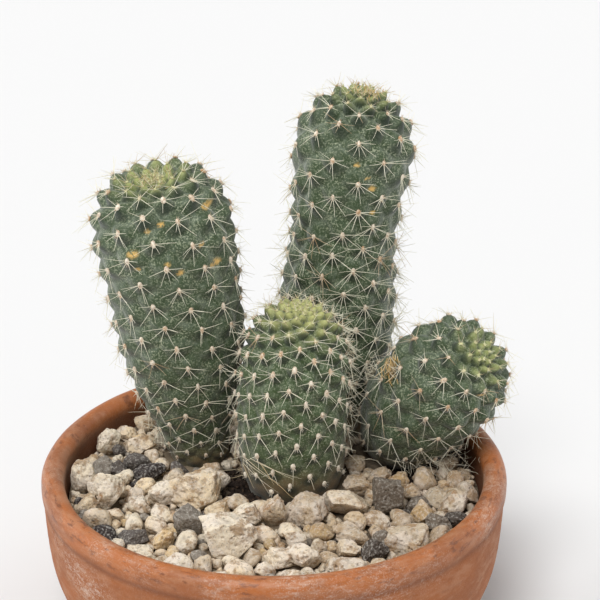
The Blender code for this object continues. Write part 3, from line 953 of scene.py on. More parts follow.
@dataclass(frozen=True)
class Stem:
    """One stem: a bent axis, a girth along it, and areoles on crossing spirals.

    The axis, girth, spirals and crowding are those of the solid that the stem stands for.
    fresh is the skin radius inside which the crown is yellow-green and how much it is so, cork
    the height up to which the foot is brown, calm the share of its relief that the foot keeps,
    dent how far the middle of the crown sinks, loose and upper how much wider the tubercles
    stand than in the solid inside the crown and below it, cap the size of the crown's wool,
    rosy the wool's colour at the foot and in the crown, swirl the turn and the first angle of
    the spirals over the reference share, where they differ from those below, and moat how far
    the stones stay off the foot.
    """

    name: str
    root: Point
    bend: Point
    tip: Point
    girth: tuple[Pair, ...]
    dome_start: float
    dome_power: float
    turn: float
    first_turn: float
    crowding: float
    stretch: float
    spines: Spines
    fresh: Pair
    cork: float
    finish: SkinFinish
    calm: float = 0.6
    dent: float = 0.0014
    loose: float = 3.0
    upper: float = 0.0
    cap: float = 0.6
    wool: float = 1.0
    rosy: Pair = (0.35, 0.6)
    scars: tuple[Scar, ...] = ()
    seed: int = 1
    swirl: Pair | None = None
    moat: float = 0.0002

    def ends(self, share: Array) -> tuple[Array, ...]:
        """Root, bend and tip of the axis, and the shares with a last axis for x, y and z."""
        ends = (np.array(end) for end in (self.root, self.bend, self.tip))
        return (*ends, np.asarray(share)[..., None])

    def axis(self, share: Array) -> Array:
        """Points of the axis at shares of its run from root to tip."""
        root, bend, tip, share = self.ends(share)
        return root * (1 - share) ** 2 + bend * (2 * share * (1 - share)) + tip * share ** 2

    def heading(self, share: Array) -> Array:
        """Unit directions of the axis, toward the tip."""
        root, bend, tip, share = self.ends(share)
        return unit((bend - root) * (1 - share) + (tip - bend) * share)

    def trunk(self, share: Array) -> Array:
        """Girth along the axis, read off a smooth curve through the given pairs.

        Args:
            share: shares of the axis.

        Returns:
            The radius at each.
        """
        places = np.array([pair[0] for pair in self.girth])
        radii = np.array([pair[1] for pair in self.girth])
        chords = np.diff(radii) / np.diff(places)
        before, after = chords[:-1], chords[1:]
        both = before + after
        inner = np.where(before * after <= 0, 0.0,
                         2 * before * after / np.where(both == 0, 1.0, both))
        slopes = np.concatenate([chords[:1], inner, chords[-1:]])
        index = np.clip(np.searchsorted(places, share) - 1, 0, len(chords) - 1)
        span = places[index + 1] - places[index]
        u = np.clip((share - places[index]) / span, 0.0, 1.0)
        rise = radii[index] * (1 + 2 * u) * (1 - u) ** 2 + span * slopes[index] * u * (1 - u) ** 2
        fall = (radii[index + 1] * u * u * (3 - 2 * u)
                - span * slopes[index + 1] * u * u * (1 - u))
        return rise + fall

    def radius(self, share: Array) -> Array:
        """Radius of the skin at shares of the axis, closed by a dome at the tip."""
        into = np.maximum(0.0, (share - self.dome_start) / (1 - self.dome_start))
        return self.trunk(share) * np.maximum(0.0, 1 - into ** self.dome_power) ** (
            1 / self.dome_power)

    def skin(self, share: Array, angle: Array) -> tuple[Array, Array]:
        """Points and outward normals of the bare skin.

        Args:
            share: shares of the axis.
            angle: turns round it in radians, of the same shape.

        Returns:
            The points and the normals, each with a last axis of x, y and z.
        """
        heading = self.heading(share)
        across = unit(np.array([1.0, 0.0, 0.0]) - heading[..., :1] * heading)
        along = np.cross(heading, across)
        outward = across * np.cos(angle)[..., None] + along * np.sin(angle)[..., None]
        low, high = np.maximum(0.0, share - NEAR_SHARE), np.minimum(1.0, share + NEAR_SHARE)
        run = np.linalg.norm(self.axis(high) - self.axis(low), axis=-1)
        slope = np.arctan2(self.radius(low) - self.radius(high), run)[..., None]
        normal = outward * np.cos(slope) + heading * np.sin(slope)
        radius = self.radius(share)
        dent = self.dent * smooth_step(radius, DENT_RIM, DENT_MIDDLE)
        dent = dent * (share > self.dome_start)
        return self.axis(share) + outward * radius[..., None] - heading * dent[..., None], normal

    def areoles(self) -> Areoles:
        """Every areole from the foot into the crown.

        Returns:
            The areoles, without those that the crown's own spirals push out.
        """
        steps = np.linspace(0.0, 1.0, AXIS_STEPS)
        radii, points = self.radius(steps), self.axis(steps)
        run = np.hypot(np.linalg.norm(np.diff(points, axis=0), axis=1), np.diff(radii))
        mean_radius = np.maximum((radii[1:] + radii[:-1]) / 2, 1e-5)
        mean_share = (steps[1:] + steps[:-1]) / 2
        slim = np.where(mean_share < self.dome_start, 1 - mean_radius / radii.max(), 0.0)
        room = self.crowding * (1 + self.stretch * (mean_share - 0.6)) * (1 + FOOT_EASE * slim)
        room = room * self.widening(mean_share, mean_radius)
        number = np.concatenate([[0.0], np.cumsum(math.tau / (room * mean_radius) * run)])
        number -= np.interp(REFERENCE_SHARE, steps, number)
        whole = np.arange(math.ceil(number[0]), math.floor(number[-1]))
        shares = np.interp(whole, number, steps)
        kept = (shares < self.dome_start) | (self.radius(shares) > LAST_AREOLE)
        whole, shares = whole[kept], shares[kept]
        angles = self.first_turn + math.tau * self.turn * whole
        if self.swirl:
            turn, start = self.swirl
            angles = np.where(whole >= 0, start + math.tau * turn * whole, angles)
        places, normals = self.skin(shares, angles)
        if self.swirl:
            gaps = np.linalg.norm(places[:, None] - places[None, whole >= 0], axis=2).min(1)
            clear = (whole >= 0) | (gaps > SWIRL_GAP)
            shares, places, normals = shares[clear], places[clear], normals[clear]
        heading = self.heading(shares)
        down = -unit(heading - (heading * normals).sum(-1, keepdims=True) * normals)
        radii = self.radius(shares)
        uneven = default_rng(self.seed + 50).uniform(*UNEVEN_RISE, len(shares))
        return Areoles(places, normals, down, radii, shares, self.rise(shares, radii) * uneven)

    def widening(self, share: Array, radius: Array) -> Array:
        """How many times more room a tubercle of the crown has than in the solid.

        Args:
            share: shares of the axis.
            radius: the stem's radius there.

        Returns:
            The factor at each.
        """
        inward = np.maximum(0.0, 1 - radius / self.radius(REFERENCE_SHARE))
        below = self.upper * smooth_step(share, REFERENCE_SHARE, REFERENCE_SHARE + 0.12)
        return 1 + below + self.loose * inward ** 3 * (share > REFERENCE_SHARE)

    def rise(self, share: Array, radius: Array) -> Array:
        """How far a tubercle stands out: less at the calm foot and where they crowd.

        Args:
            share: shares of the axis.
            radius: the stem's radius there.

        Returns:
            The rise at each.
        """
        crown = smooth_step(share, self.dome_start, (self.dome_start + 1) / 2)
        full = TUBERCLE_RISE * (self.calm + (1 - self.calm) * smooth_step(share, 0.2, 0.75))
        room = CROWDED_RISE * np.sqrt(self.crowding * self.widening(share, radius)) * radius
        return np.minimum(full + CROWN_RISE * crown, room)

    def stand(self, rise: Array) -> Array:
        """How far a tubercle's top lies over the bare skin, for a skin that keeps its girth."""
        return KEPT_RISE * rise + SKIN_LIFT

    def even_shares(self, step: float) -> Array:
        """Shares of the axis at even steps along the skin, from the foot to the tip.

        Args:
            step: the spacing.

        Returns:
            The shares.
        """
        fine = 1 - np.linspace(1.0, 0.0, FINE_STEPS) ** 2
        outline = np.stack([self.radius(fine), np.concatenate(
            [[0.0], np.cumsum(np.linalg.norm(np.diff(self.axis(fine), axis=0), axis=1))])], 1)
        travelled = np.concatenate([[0.0], np.cumsum(
            np.linalg.norm(np.diff(outline, axis=0), axis=1))])
        count = int(travelled[-1] / step)
        return np.interp(np.linspace(0, travelled[-1], count), travelled, fine)

    def body(self, areoles: Areoles, step: float = 0.00052) -> Object:
        """The skin with a rounded tubercle under every areole.

        Args:
            areoles: the stem's areoles.
            step: the spacing of the mesh.

        Returns:
            The body, with the values that its finish reads.
        """
        shares = self.even_shares(step)[:-1]
        columns = int(math.tau * self.radius(shares).max() / step)
        angles = np.linspace(0.0, math.tau, columns, endpoint=False)
        share_grid, angle_grid = np.meshgrid(shares, angles, indexing="ij")
        base, normal = self.skin(share_grid, angle_grid)
        base, normal = base.reshape(-1, 3), normal.reshape(-1, 3)
        nearest = np.empty(len(base), dtype=int)
        first = np.empty(len(base))
        second = np.empty(len(base))
        for start in range(0, len(base), CHUNK):
            chunk = slice(start, start + CHUNK)
            gaps = np.linalg.norm(base[chunk, None] - areoles.points[None], axis=2)
            order = np.argpartition(gaps, 1, axis=1)[:, :2]
            pair = np.take_along_axis(gaps, order, axis=1)
            swap = pair[:, 0] > pair[:, 1]
            nearest[chunk] = np.where(swap, order[:, 1], order[:, 0])
            first[chunk], second[chunk] = pair.min(1), pair.max(1)
        edge = np.clip(2 * first / (first + second), 0.0, 1.0)
        rise = areoles.rises[nearest]
        above = smooth_step(base[:, 2], COLLAR_Z, COLLAR_Z + COLLAR_DEPTH)
        start = math.hypot(1, CREASE_ROUNDNESS)
        slack = (start - np.hypot(1 - edge, CREASE_ROUNDNESS)) / (start - CREASE_ROUNDNESS)
        height = self.stand(rise) - rise * slack ** CREASE_POWER
        points = base + normal * (above * height)[:, None]
        tip = self.axis(np.array([1.0])) - self.heading(np.array([1.0])) * self.dent
        foot = self.axis(np.array([0.0]))
        last = (len(shares) - 1) * columns
        faces = grid_faces(len(shares), columns)
        top, bottom = len(points), len(points) + 1
        faces += [(last + column, last + (column + 1) % columns, top) for column in range(columns)]
        faces += [((column + 1) % columns, column, bottom) for column in range(columns)]
        thing = mesh_object(f"{self.name}_skin", np.concatenate([points, tip, foot]), faces)
        self.mark(thing, areoles, base, nearest, edge, share_grid.ravel())
        thing.data.materials.append(self.finish.material())
        return thing

    def mark(self, thing: Object, areoles: Areoles, base: Array, nearest: Array, edge: Array,
             shares: Array) -> None:
        """Stores what the finish reads: crown, cork, shade under areoles, valleys and scars.

        Args:
            thing: the skin.
            areoles: the stem's areoles.
            base: its points before the tubercles raised them.
            nearest: the number of the areole that is nearest to each.
            edge: how near each is to the crease between two tubercles, from 0 to 1.
            shares: the share of the axis that each belongs to.
        """
        radii = self.radius(shares)
        reach, strength = self.fresh
        crown = smooth_step(radii, reach * 1.25, reach * 0.55)
        middle = smooth_step(radii, reach * 0.8, reach * 0.3)
        fresh = np.where(shares > self.dome_start, crown, 0.0) * strength
        fresh *= (0.45 + 0.55 * middle) * (1 - 0.9 * edge ** 2)
        offset = base - areoles.points[nearest]
        fall = (offset * areoles.down[nearest]).sum(1)
        side = np.linalg.norm(np.cross(offset, areoles.down[nearest]), axis=1)
        # Painted shade: a fan below each areole that widens as it falls, fainter in the crown.
        width = SHADE_WIDTH + SHADE_WIDENING * np.maximum(fall, 0.0)
        shade = (np.exp(-(side / width) ** 2) * smooth_step(fall, 0.0, SHADE_START)
                 * smooth_step(fall, *SHADE_END) * (1 - 0.7 * fresh))
        scar = np.zeros(len(base))
        for mark in self.scars:
            gap = np.hypot(base[:, 0] - mark.x, (base[:, 2] - mark.z) * 1.5)
            facing = base[:, 1] < self.axis(shares)[:, 1]
            scar = np.maximum(scar, smooth_step(gap, mark.reach, mark.reach * 0.55) * facing)
        cork = smooth_step(base[:, 2], self.cork + CORK_FADE, self.cork - CORK_FADE)
        young = self.youth(areoles)[nearest] * (shares > self.dome_start)
        tip = np.exp(-(offset ** 2).sum(1) / TIP_REACH ** 2) * young * strength
        values = {"fresh": fresh, "tip": tip, "cork": cork, "shade": shade, "between": edge,
                  "scar": scar}
        carry(thing, **{name: np.concatenate([rows, rows[-1:], rows[:1]])
                        for name, rows in values.items()})

    def wool_points(self, areoles: Areoles, rng: Generator) -> Object:
        """The heart of each tuft of wool, marked for scattering.

        Args:
            areoles: the stem's areoles.
            rng: the stem's own random numbers.

        Returns:
            An object of loose points.
        """
        kept = self.dressed(areoles)
        young = self.youth(areoles)[kept]
        size = self.wool * np.clip(areoles.radii[kept] / WOOL_GIRTH, 0.42, 1.0)
        size += (self.cap - size) * young
        across = np.cross(areoles.normals[kept], areoles.down[kept])
        height = self.stand(areoles.rises[kept]) + WOOL_LIFT
        points = areoles.points[kept] + areoles.normals[kept] * height[:, None]
        thing = mesh_object("wool_points", points)
        turns = [euler_of(across[i], -areoles.down[kept][i], areoles.normals[kept][i])
                 for i in range(len(points))]
        uneven = rng.uniform(0.8, 1.2, (len(points), 3))
        low, high = self.rosy
        tone = low + (high - low) * areoles.shares[kept] + rng.normal(0, 0.16, len(points))
        carry(thing, size=uneven * size[:, None] * np.array(WOOL_SIZE), turn=turns,
              tone=np.clip(tone, 0.0, 1.0), fresh=young,
              kind=rng.integers(0, TUFT_SHAPES, len(points)))
        return thing

    def youth(self, areoles: Areoles) -> Array:
        """How young each areole's wool is: 1 in the middle of the crown, 0 down the sides."""
        inner = smooth_step(areoles.radii, self.fresh[0] * 1.1, self.fresh[0] * 0.7)
        return inner * (areoles.shares > self.dome_start)

    def hair_points(self, areoles: Areoles, rng: Generator) -> Object:
        """Short curled hairs that make each tuft of wool fluffy, marked for bristles.

        Args:
            areoles: the stem's areoles.
            rng: the stem's own random numbers.

        Returns:
            An object of loose points.
        """
        feet, aims, lengths, tones, fresh = [], [], [], [], []
        low, high = self.rosy
        young = self.youth(areoles)
        for i in self.dressed(areoles):
            size = self.wool * min(1.0, max(0.5, areoles.radii[i] / WOOL_GIRTH))
            normal, down = areoles.normals[i], areoles.down[i]
            side = np.cross(normal, down)
            heart = areoles.points[i] + normal * (self.stand(areoles.rises[i]) + HAIR_LIFT)
            tone = low + (high - low) * areoles.shares[i]
            for _ in range(HAIRS):
                turn = rng.uniform(0, math.tau)
                flat = side * math.cos(turn) * 0.55 + down * math.sin(turn)
                feet.append(heart + flat * TUFT_REACH * size)
                aims.append(flat + normal * rng.uniform(0.35, 1.6))
                lengths.append(size * rng.uniform(*HAIR_LENGTHS))
                tones.append(tone + rng.normal(0, 0.15))
                fresh.append(young[i])
        thing = mesh_object("hair_points", np.array(feet))
        carry(thing, aim=unit(np.array(aims)), length=lengths,
              girth=np.full(len(feet), HAIR_GIRTH), roll=rng.uniform(0, math.tau, len(feet)),
              tone=np.clip(tones, 0.0, 1.0), fresh=fresh)
        return thing

    def dressed(self, areoles: Areoles) -> Array:
        """Which areoles stand clear of the stones and carry wool and spines."""
        return np.flatnonzero(areoles.points[:, 2] > WOOL_Z)

    def spine_points(self, areoles: Areoles, room: Room, rng: Generator) -> Object:
        """The foot of every spine, marked with its aim, length and girth.

        Args:
            areoles: the stem's areoles.
            room: what the spines keep clear of.
            rng: the stem's own random numbers.

        Returns:
            An object of loose points.
        """
        feet, aims, lengths, girths, tones = [], [], [], [], []
        plan, change = self.spines, CROWN_SPINES
        for i in self.dressed(areoles):
            share, radius = areoles.shares[i], areoles.radii[i]
            crown = 0.0
            if share > self.dome_start:
                crown = smooth_step(radius, change.edge, change.middle)
            normal, down = areoles.normals[i], areoles.down[i]
            side = np.cross(normal, down)
            foot = areoles.points[i] + normal * (self.stand(areoles.rises[i]) + WOOL_LIFT)
            count = along(plan.count, share) * (1 - change.fewer * crown)
            count = max(0, round(count + rng.uniform(-plan.uneven, plan.uneven)))
            if radius <= change.last:
                count = change.few
            length = along(plan.length, share) * (1 - change.shorter * crown)
            lift = along(plan.lift, share) + change.lift * crown
            spread = along(plan.spread, share) + change.spread * crown
            brown = rng.random() < plan.brown
            for k in range(count):
                azimuth = math.radians(spread * (2 * (k + 0.5) / count - 1)
                                       + rng.uniform(-plan.sway, plan.sway))
                tilt = math.radians(lift + rng.uniform(*plan.tilts))
                flat = down * math.cos(azimuth) + side * math.sin(azimuth)
                reach = length * rng.uniform(*plan.reaches)
                reach *= 0.75 + 0.25 * abs(math.sin(azimuth))
                way = self.free_way(room, foot, reach, flat, normal, tilt)
                if way is None:
                    continue
                feet.append(foot + flat * SPINE_START)
                aims.append(way)
                lengths.append(reach)
                girths.append(plan.girth * (1 - change.thinner * crown) * rng.uniform(0.8, 1.1))
                dark = brown or rng.random() < crown * change.brown
                tones.append(rng.uniform(*(DARK_TONES if dark else PALE_TONES)))
        thing = mesh_object("spine_points", np.array(feet))
        carry(thing, aim=aims, length=lengths, girth=girths,
              roll=rng.uniform(0, math.tau, len(feet)), tone=tones)
        return thing

    def free_way(self, room: Room, foot: Array, reach: float, flat: Array, normal: Array,
                 tilt: float) -> Array | None:
        """The flattest of three ways in which a spine is clear of what stands round it.

        Args:
            room: what it keeps clear of.
            foot: where it starts.
            reach: its length.
            flat: its way along the skin.
            normal: the way out of the skin.
            tilt: the angle that it would best have to the skin.

        Returns:
            The way, or None where all three are blocked.
        """
        for steeper in (0.0, 0.35, 0.8):
            way = flat * math.cos(tilt + steeper) + normal * math.sin(tilt + steeper)
            if room.free(self.name, foot + way * reach):
                return way
        return None


def along(ends: Pair, share: float) -> float:
    """The value at a share of the way from the first end to the second."""
    return ends[0] + (ends[1] - ends[0]) * share


def euler_of(x_axis: Array, y_axis: Array, z_axis: Array) -> tuple[float, ...]:
    """Angles that turn X, Y and Z onto three given directions."""
    rows = Matrix((x_axis, y_axis, z_axis)).transposed()
    return tuple(rows.to_euler("XYZ"))


class Room:
    """Tells whether the tip of a spine is clear of the other stems, the stones and the lip."""

    STEM_GAP = 0.0011
    BED_GAP = 0.0045
    LIP_GAP = 0.001

    def __init__(self, stems: tuple[Stem, ...], bowl: Bowl) -> None:
        """Takes what the spines keep clear of.

        Args:
            stems: every stem.
            bowl: the bowl whose lip is kept clear.
        """
        shares = np.linspace(0.0, 1.0, 120)
        self.bodies = {stem.name: (stem.axis(shares), stem.radius(shares) + self.STEM_GAP)
                       for stem in stems}
        self.lip_top = bowl.height + self.LIP_GAP
        self.lip_inside = bowl.radius - bowl.wall - self.LIP_GAP

    def free(self, owner: str, tip: Array) -> bool:
        """Whether a tip is clear of all but its own stem.

        Args:
            owner: the name of its stem.
            tip: the tip's place.

        Returns:
            True where nothing is in its way.
        """
        if tip[2] < BED_Z + self.BED_GAP:
            return False
        if tip[2] < self.lip_top and math.hypot(tip[0], tip[1]) > self.lip_inside:
            return False
        for name, (axis, reach) in self.bodies.items():
            if name != owner and (np.linalg.norm(axis - tip, axis=1) < reach).any():
                return False
        return True


LEFT_SCARS = (Scar(-0.0345, 0.1055, 0.0016), Scar(-0.0278, 0.1129, 0.0011),
              Scar(-0.0311, 0.1112, 0.0009), Scar(-0.0232, 0.1005, 0.0013),
              Scar(-0.0336, 0.1014, 0.0010), Scar(-0.0182, 0.1071, 0.0012),
              Scar(-0.0151, 0.1010, 0.0019), Scar(-0.0170, 0.1150, 0.0013),
              Scar(-0.0262, 0.1035, 0.0008))
BACK_SCARS = (Scar(0.0211, 0.1211, 0.0009), Scar(0.0248, 0.1143, 0.0012),
              Scar(0.0252, 0.1071, 0.0009), Scar(0.0237, 0.1176, 0.0008))
RIGHT_SCARS = (Scar(0.0525, 0.0671, 0.0011),)

STEMS = (
    Stem(
        name="stem_left", root=(-0.019, 0.021, 0.0267), bend=(-0.0238, 0.0195, 0.080),
        tip=(-0.0307, 0.015, 0.1214),
        girth=((0, 0.0058), (0.13, 0.0074), (0.22, 0.0097), (0.35, 0.0136), (0.5, 0.0159),
               (0.65, 0.0162), (0.8, 0.0171), (1, 0.0172)),
        dome_start=0.78, dome_power=2.2, turn=0.38322, first_turn=3.97, crowding=0.183,
        stretch=0.28, fresh=(0.0100, 0.85), cork=0.043, finish=SKIN, calm=0.45, dent=0.0026,
        loose=4.0, cap=0.5, rosy=(0.1, 0.5), scars=LEFT_SCARS, seed=11,
        spines=Spines(count=(3.5, 7), length=(0.0052, 0.0060), lift=(16, 27),
                      spread=(125, 122), brown=0.10)),
    Stem(
        name="stem_back", root=(0.0152, 0.0378, 0.0267), bend=(0.0156, 0.0378, 0.090),
        tip=(0.0232, 0.0348, 0.1382),
        girth=((0, 0.0078), (0.1, 0.0090), (0.2, 0.0110), (0.32, 0.0148), (0.48, 0.0141),
               (0.6, 0.0129), (0.72, 0.0139), (0.86, 0.0149), (1, 0.0140)),
        dome_start=0.82, dome_power=1.5, turn=-0.38290, first_turn=0.9, crowding=0.208,
        stretch=0.0, fresh=(0.0068, 0.6), cork=0.046, finish=SKIN, dent=0.0020, loose=3.5,
        upper=0.406, cap=0.5, wool=0.95, rosy=(0.0, 0.55), scars=BACK_SCARS, seed=12,
        swirl=(0.1325, 3.196),
        spines=Spines(count=(13, 6.5), length=(0.0082, 0.0050), lift=(12, 27),
                      spread=(165, 118), brown=0.08)),
    Stem(
        name="stem_front", root=(0.0059, 0.0080, 0.0267), bend=(0.0030, 0.0060, 0.060),
        tip=(0.0069, 0.0035, 0.0892),
        girth=((0, 0.0093), (0.15, 0.0117), (0.3, 0.0133), (0.5, 0.0137), (0.75, 0.0131),
               (1, 0.0125)),
        dome_start=0.63, dome_power=2.3, turn=-0.27720, first_turn=2.5, crowding=0.158,
        stretch=0.0, fresh=(0.0092, 1.0), cork=0.046, finish=PALE_SKIN, calm=0.1,
        dent=0.0006, loose=4.0, cap=0.5, rosy=(-0.3, 0.5), seed=13, moat=0.0010,
        spines=Spines(count=(-1.6, 8), length=(0.0062, 0.0046), lift=(18, 27),
                      spread=(80, 125), brown=0.10)),
    Stem(
        name="stem_right", root=(0.0305, 0.0250, 0.0267), bend=(0.0325, 0.0230, 0.054),
        tip=(0.0545, 0.0035, 0.077),
        girth=((0, 0.0060), (0.15, 0.0064), (0.25, 0.0092), (0.36, 0.0119), (0.5, 0.0138),
               (0.7, 0.0144), (1, 0.0138)),
        dome_start=0.71, dome_power=2.0, turn=-0.38400, first_turn=3.76, crowding=0.262,
        stretch=0.0, fresh=(0.0080, 0.55), cork=0.042, finish=SKIN, calm=0.35, dent=0.0022,
        loose=3.4, cap=0.55, wool=0.95, rosy=(0.1, 0.5), scars=RIGHT_SCARS, seed=14,
        moat=0.0006,
        spines=Spines(count=(4, 6.5), length=(0.0070, 0.0050), lift=(14, 27),
                      spread=(110, 125), brown=0.10)),
)


# Bowl


@dataclass(frozen=True)
class Bloom:
    """A pale mineral mark on the bowl: its middle, its reach and how strong it is."""

    centre: Point
    reach: float
    strength: float = 0.6


@dataclass(frozen=True)
class Bowl:
    """The terracotta bowl: a turned shell with a rolled lip, a flat foot and drain holes.

    sway and rings are how far the wall is uneven and ringed, pale_dust_and_light how dusty the
    front is and how much paler the sides are painted as painted light, lip_dust the dust on the
    lip, and streak how far the turning draws out the pattern of the clay.
    """

    radius: float = 0.060
    height: float = 0.047
    wall: float = 0.006
    floor: float = 0.0065
    floor_corner: float = 0.010
    side_taper: float = 0.087
    belly_depth: float = 0.054
    belly_reach: float = 0.0758
    belly_power: float = 4.6
    drain_holes: int = 3
    drain_radius: float = 0.004
    drain_circle: float = 0.019
    steps: int = 200
    crease_z: float = 0.0402
    crease_depth: float = 0.0007
    crease_width: float = 0.0011
    crease_edge: float = 0.0005
    crease_fade: float = 0.010
    sway: float = 0.00022
    rings: float = 0.00005
    pale_dust_and_light: Pair = (0.06, 0.44)
    lip_dust: float = 0.34
    streak: float = 2.5
    blooms: tuple[Bloom, ...] = (
        Bloom((-0.0500, -0.0320, 0.0345), 0.006, 0.9),
        Bloom((-0.0476, -0.0353, 0.0330), 0.007, 1.0),
        Bloom((-0.0440, -0.0400, 0.0310), 0.008, 1.0),
        Bloom((-0.0540, -0.0250, 0.0380), 0.006, 0.5),
        Bloom((-0.0417, -0.0418, 0.0465), 0.005, 0.6),
        Bloom((-0.0300, -0.0480, 0.0462), 0.007, 0.5),
        Bloom((-0.0120, -0.0560, 0.0440), 0.006, 0.6),
        Bloom((0.0060, -0.0560, 0.0468), 0.008, 0.8),
        Bloom((0.0162, -0.0578, 0.0420), 0.008, 0.5),
        Bloom((0.0280, -0.0535, 0.0400), 0.009, 0.6),
        Bloom((0.0250, -0.0510, 0.0470), 0.007, 0.7),
        Bloom((0.0390, -0.0455, 0.0420), 0.007, 0.4),
        Bloom((0.0562, -0.0117, 0.0470), 0.006, 0.7),
        Bloom((0.0526, -0.0041, 0.0470), 0.005, 0.9),
        Bloom((0.0530, -0.0260, 0.0460), 0.008, 0.7), Bloom((0.0400, 0.0430, 0.0300), 0.010, 0.8),
        Bloom((-0.0200, 0.0560, 0.0380), 0.009, 0.8), Bloom((0.0100, 0.0550, 0.0250), 0.008, 0.9),
        Bloom((-0.0580, -0.0060, 0.0462), 0.009, 0.4),
    )

    def outside(self, height: float) -> float:
        """Radius of the outer wall.

        Args:
            height: the height over the foot.

        Returns:
            The radius there.
        """
        drop = self.height - self.wall - height
        if drop <= 0:
            return self.radius
        under = self.belly_reach * (drop / self.belly_depth) ** self.belly_power
        return self.radius - self.side_taper * drop - under

    def inside(self, height: float) -> float:
        """Radius of the inner wall, rounded into the floor."""
        low = max(0.0, 1 - max(0.0, height - self.floor) / (1.2 * self.floor_corner))
        return self.outside(height) - self.wall - self.floor_corner * low ** 2

    def crease(self, height: float) -> float:
        """How far the wall is set in under the rim's band.

        Args:
            height: the height over the foot.

        Returns:
            The depth there.
        """
        groove = math.exp(-((height - self.crease_z) / self.crease_width) ** 2)
        below = 1 / (1 + math.exp((height - self.crease_z) / self.crease_edge))
        fade = math.exp(-max(0.0, self.crease_z - height) / self.crease_fade)
        return self.crease_depth * (0.45 * groove + 0.6 * below * fade)

    def profile(self) -> list[Pair]:
        """The section of the turned wall.

        Returns:
            Pairs of a radius and a height, from the middle of the floor over the lip to the
            middle beneath.
        """
        lip = self.wall / 2
        crest = self.height - lip
        inside = [(self.inside(z), z) for z in np.linspace(self.floor, crest, 26)[:-1]]
        roll = [(self.radius - lip + lip * math.cos(a), crest + lip * math.sin(a))
                for a in np.linspace(math.pi, 0.0, 15)]
        outside = [(self.outside(z) - self.crease(z), z)
                   for z in np.linspace(crest - 0.0006, 0.0012, 60)]
        last = outside[-1][0]
        edge = [(last - 0.0004, 0.0005), (last - 0.0010, 0.0001), (last - 0.0016, 0.0)]
        return [(0.0, self.floor), *inside, *roll, *outside, *edge, (0.0, 0.0)]

    def shell(self) -> Object:
        """The turned shell with its drain holes cut and a slightly hand-worked wall.

        Returns:
            The shell as a plain mesh.
        """
        bm = bmesh.new()
        corners = [bm.verts.new((radius, 0.0, z)) for radius, z in self.profile()]
        for upper, lower in zip(corners, corners[1:]):
            bm.edges.new((upper, lower))
        mesh = bpy.data.meshes.new("bowl")
        bm.to_mesh(mesh)
        bm.free()
        thing = linked("bowl", mesh)
        screw = thing.modifiers.new("Turn", "SCREW")
        screw.axis = "Z"
        screw.steps = self.steps
        screw.render_steps = self.steps
        screw.use_merge_vertices = True
        screw.merge_threshold = 0.00001
        screw.use_smooth_shade = True
        cutters = [self.cutter(index) for index in range(self.drain_holes)]
        for cutter in cutters:
            thing.modifiers.new("Drain", "BOOLEAN").object = cutter
        made = finished_mesh(thing)
        thing.modifiers.clear()
        thing.data = made
        for cutter in cutters:
            bpy.data.objects.remove(cutter, do_unlink=True)
        self.work_by_hand(made)
        made.shade_smooth()
        made.set_sharp_from_angle(angle=math.radians(50))
        return thing

    def cutter(self, index: int) -> Object:
        """The round bar that cuts one drain hole.

        Args:
            index: the hole's number.

        Returns:
            The bar, standing through the floor.
        """
        angle = math.tau * (index / self.drain_holes + 0.25)
        bm = bmesh.new()
        bmesh.ops.create_cone(bm, cap_ends=True, segments=40, radius1=self.drain_radius,
                              radius2=self.drain_radius, depth=3 * self.floor)
        shift = (self.drain_circle * math.cos(angle), self.drain_circle * math.sin(angle), 0)
        bmesh.ops.translate(bm, verts=bm.verts, vec=shift)
        mesh = bpy.data.meshes.new("drain")
        bm.to_mesh(mesh)
        bm.free()
        return linked("drain", mesh)

    def work_by_hand(self, mesh: Mesh) -> None:
        """Leaves a faint unevenness and turning marks in the wall above the foot.

        Args:
            mesh: the turned shell.
        """
        points = rows_of(mesh)
        for row in points:
            far = math.hypot(row[0], row[1])
            if row[2] < 0.004 or far < 0.02:
                continue
            slow = noise.noise(Vector((row[0] * 34, row[1] * 34, row[2] * 20)))
            rings = noise.noise(Vector((row[2] * 620, far * 90, 3.0)))
            move = (slow * self.sway + rings * self.rings) / far
            row[0] -= abs(move) * row[0]
            row[1] -= abs(move) * row[1]
        mesh.vertices.foreach_set("co", points.ravel())
        mesh.update()

    def dress(self, thing: Object) -> None:
        """Marks where bloom and dust lie, the paler sides of painted light and the painted shade
        in the crease and on the inner wall, and gives the clay its finish.

        Args:
            thing: the shell.
        """
        points = rows_of(thing.data)
        bloom = np.zeros(len(points))
        for spot in self.blooms:
            gap = np.linalg.norm(points - np.array(spot.centre), axis=1)
            here = smooth_step(gap, spot.reach * 1.3, spot.reach * 0.2) * spot.strength
            bloom = np.maximum(bloom, here)
        far = np.hypot(points[:, 0], points[:, 1])
        inner = far < self.radius - self.wall + 0.0004
        # Painted shade on the inner wall just under the rim, and along the crease below the rim's
        # band.
        damp = inner * smooth_step(points[:, 2], self.height - 0.0012, self.height - 0.0045)
        crease = ~inner * np.exp(-((points[:, 2] - self.crease_z) / self.crease_width) ** 2)
        lip = smooth_step(points[:, 2], self.crease_z, self.height - 0.002)
        round_about = points[:, :2] / np.maximum(far, 1e-6)[:, None]
        # Dust all round, and more on the left and right sides as painted light.
        dusty = self.pale_dust_and_light[0] + self.pale_dust_and_light[1] * smooth_step(abs(round_about[:, 0]), 0.35, 0.95)
        turned = np.column_stack([round_about * self.radius, self.streak * (points[:, 2] - far)])
        carry(thing, bloom=bloom, damp=damp, crease=crease, lip=lip,
              dusty=np.maximum(dusty, self.lip_dust * lip), turned=turned)
        thing.data.materials.clear()
        thing.data.materials.append(TERRACOTTA.material())

    def build(self) -> None:
        """Builds and seats the bowl."""
        shell = self.shell()
        self.dress(shell)
        seat(shell, "terracotta", "pot")


# Stones


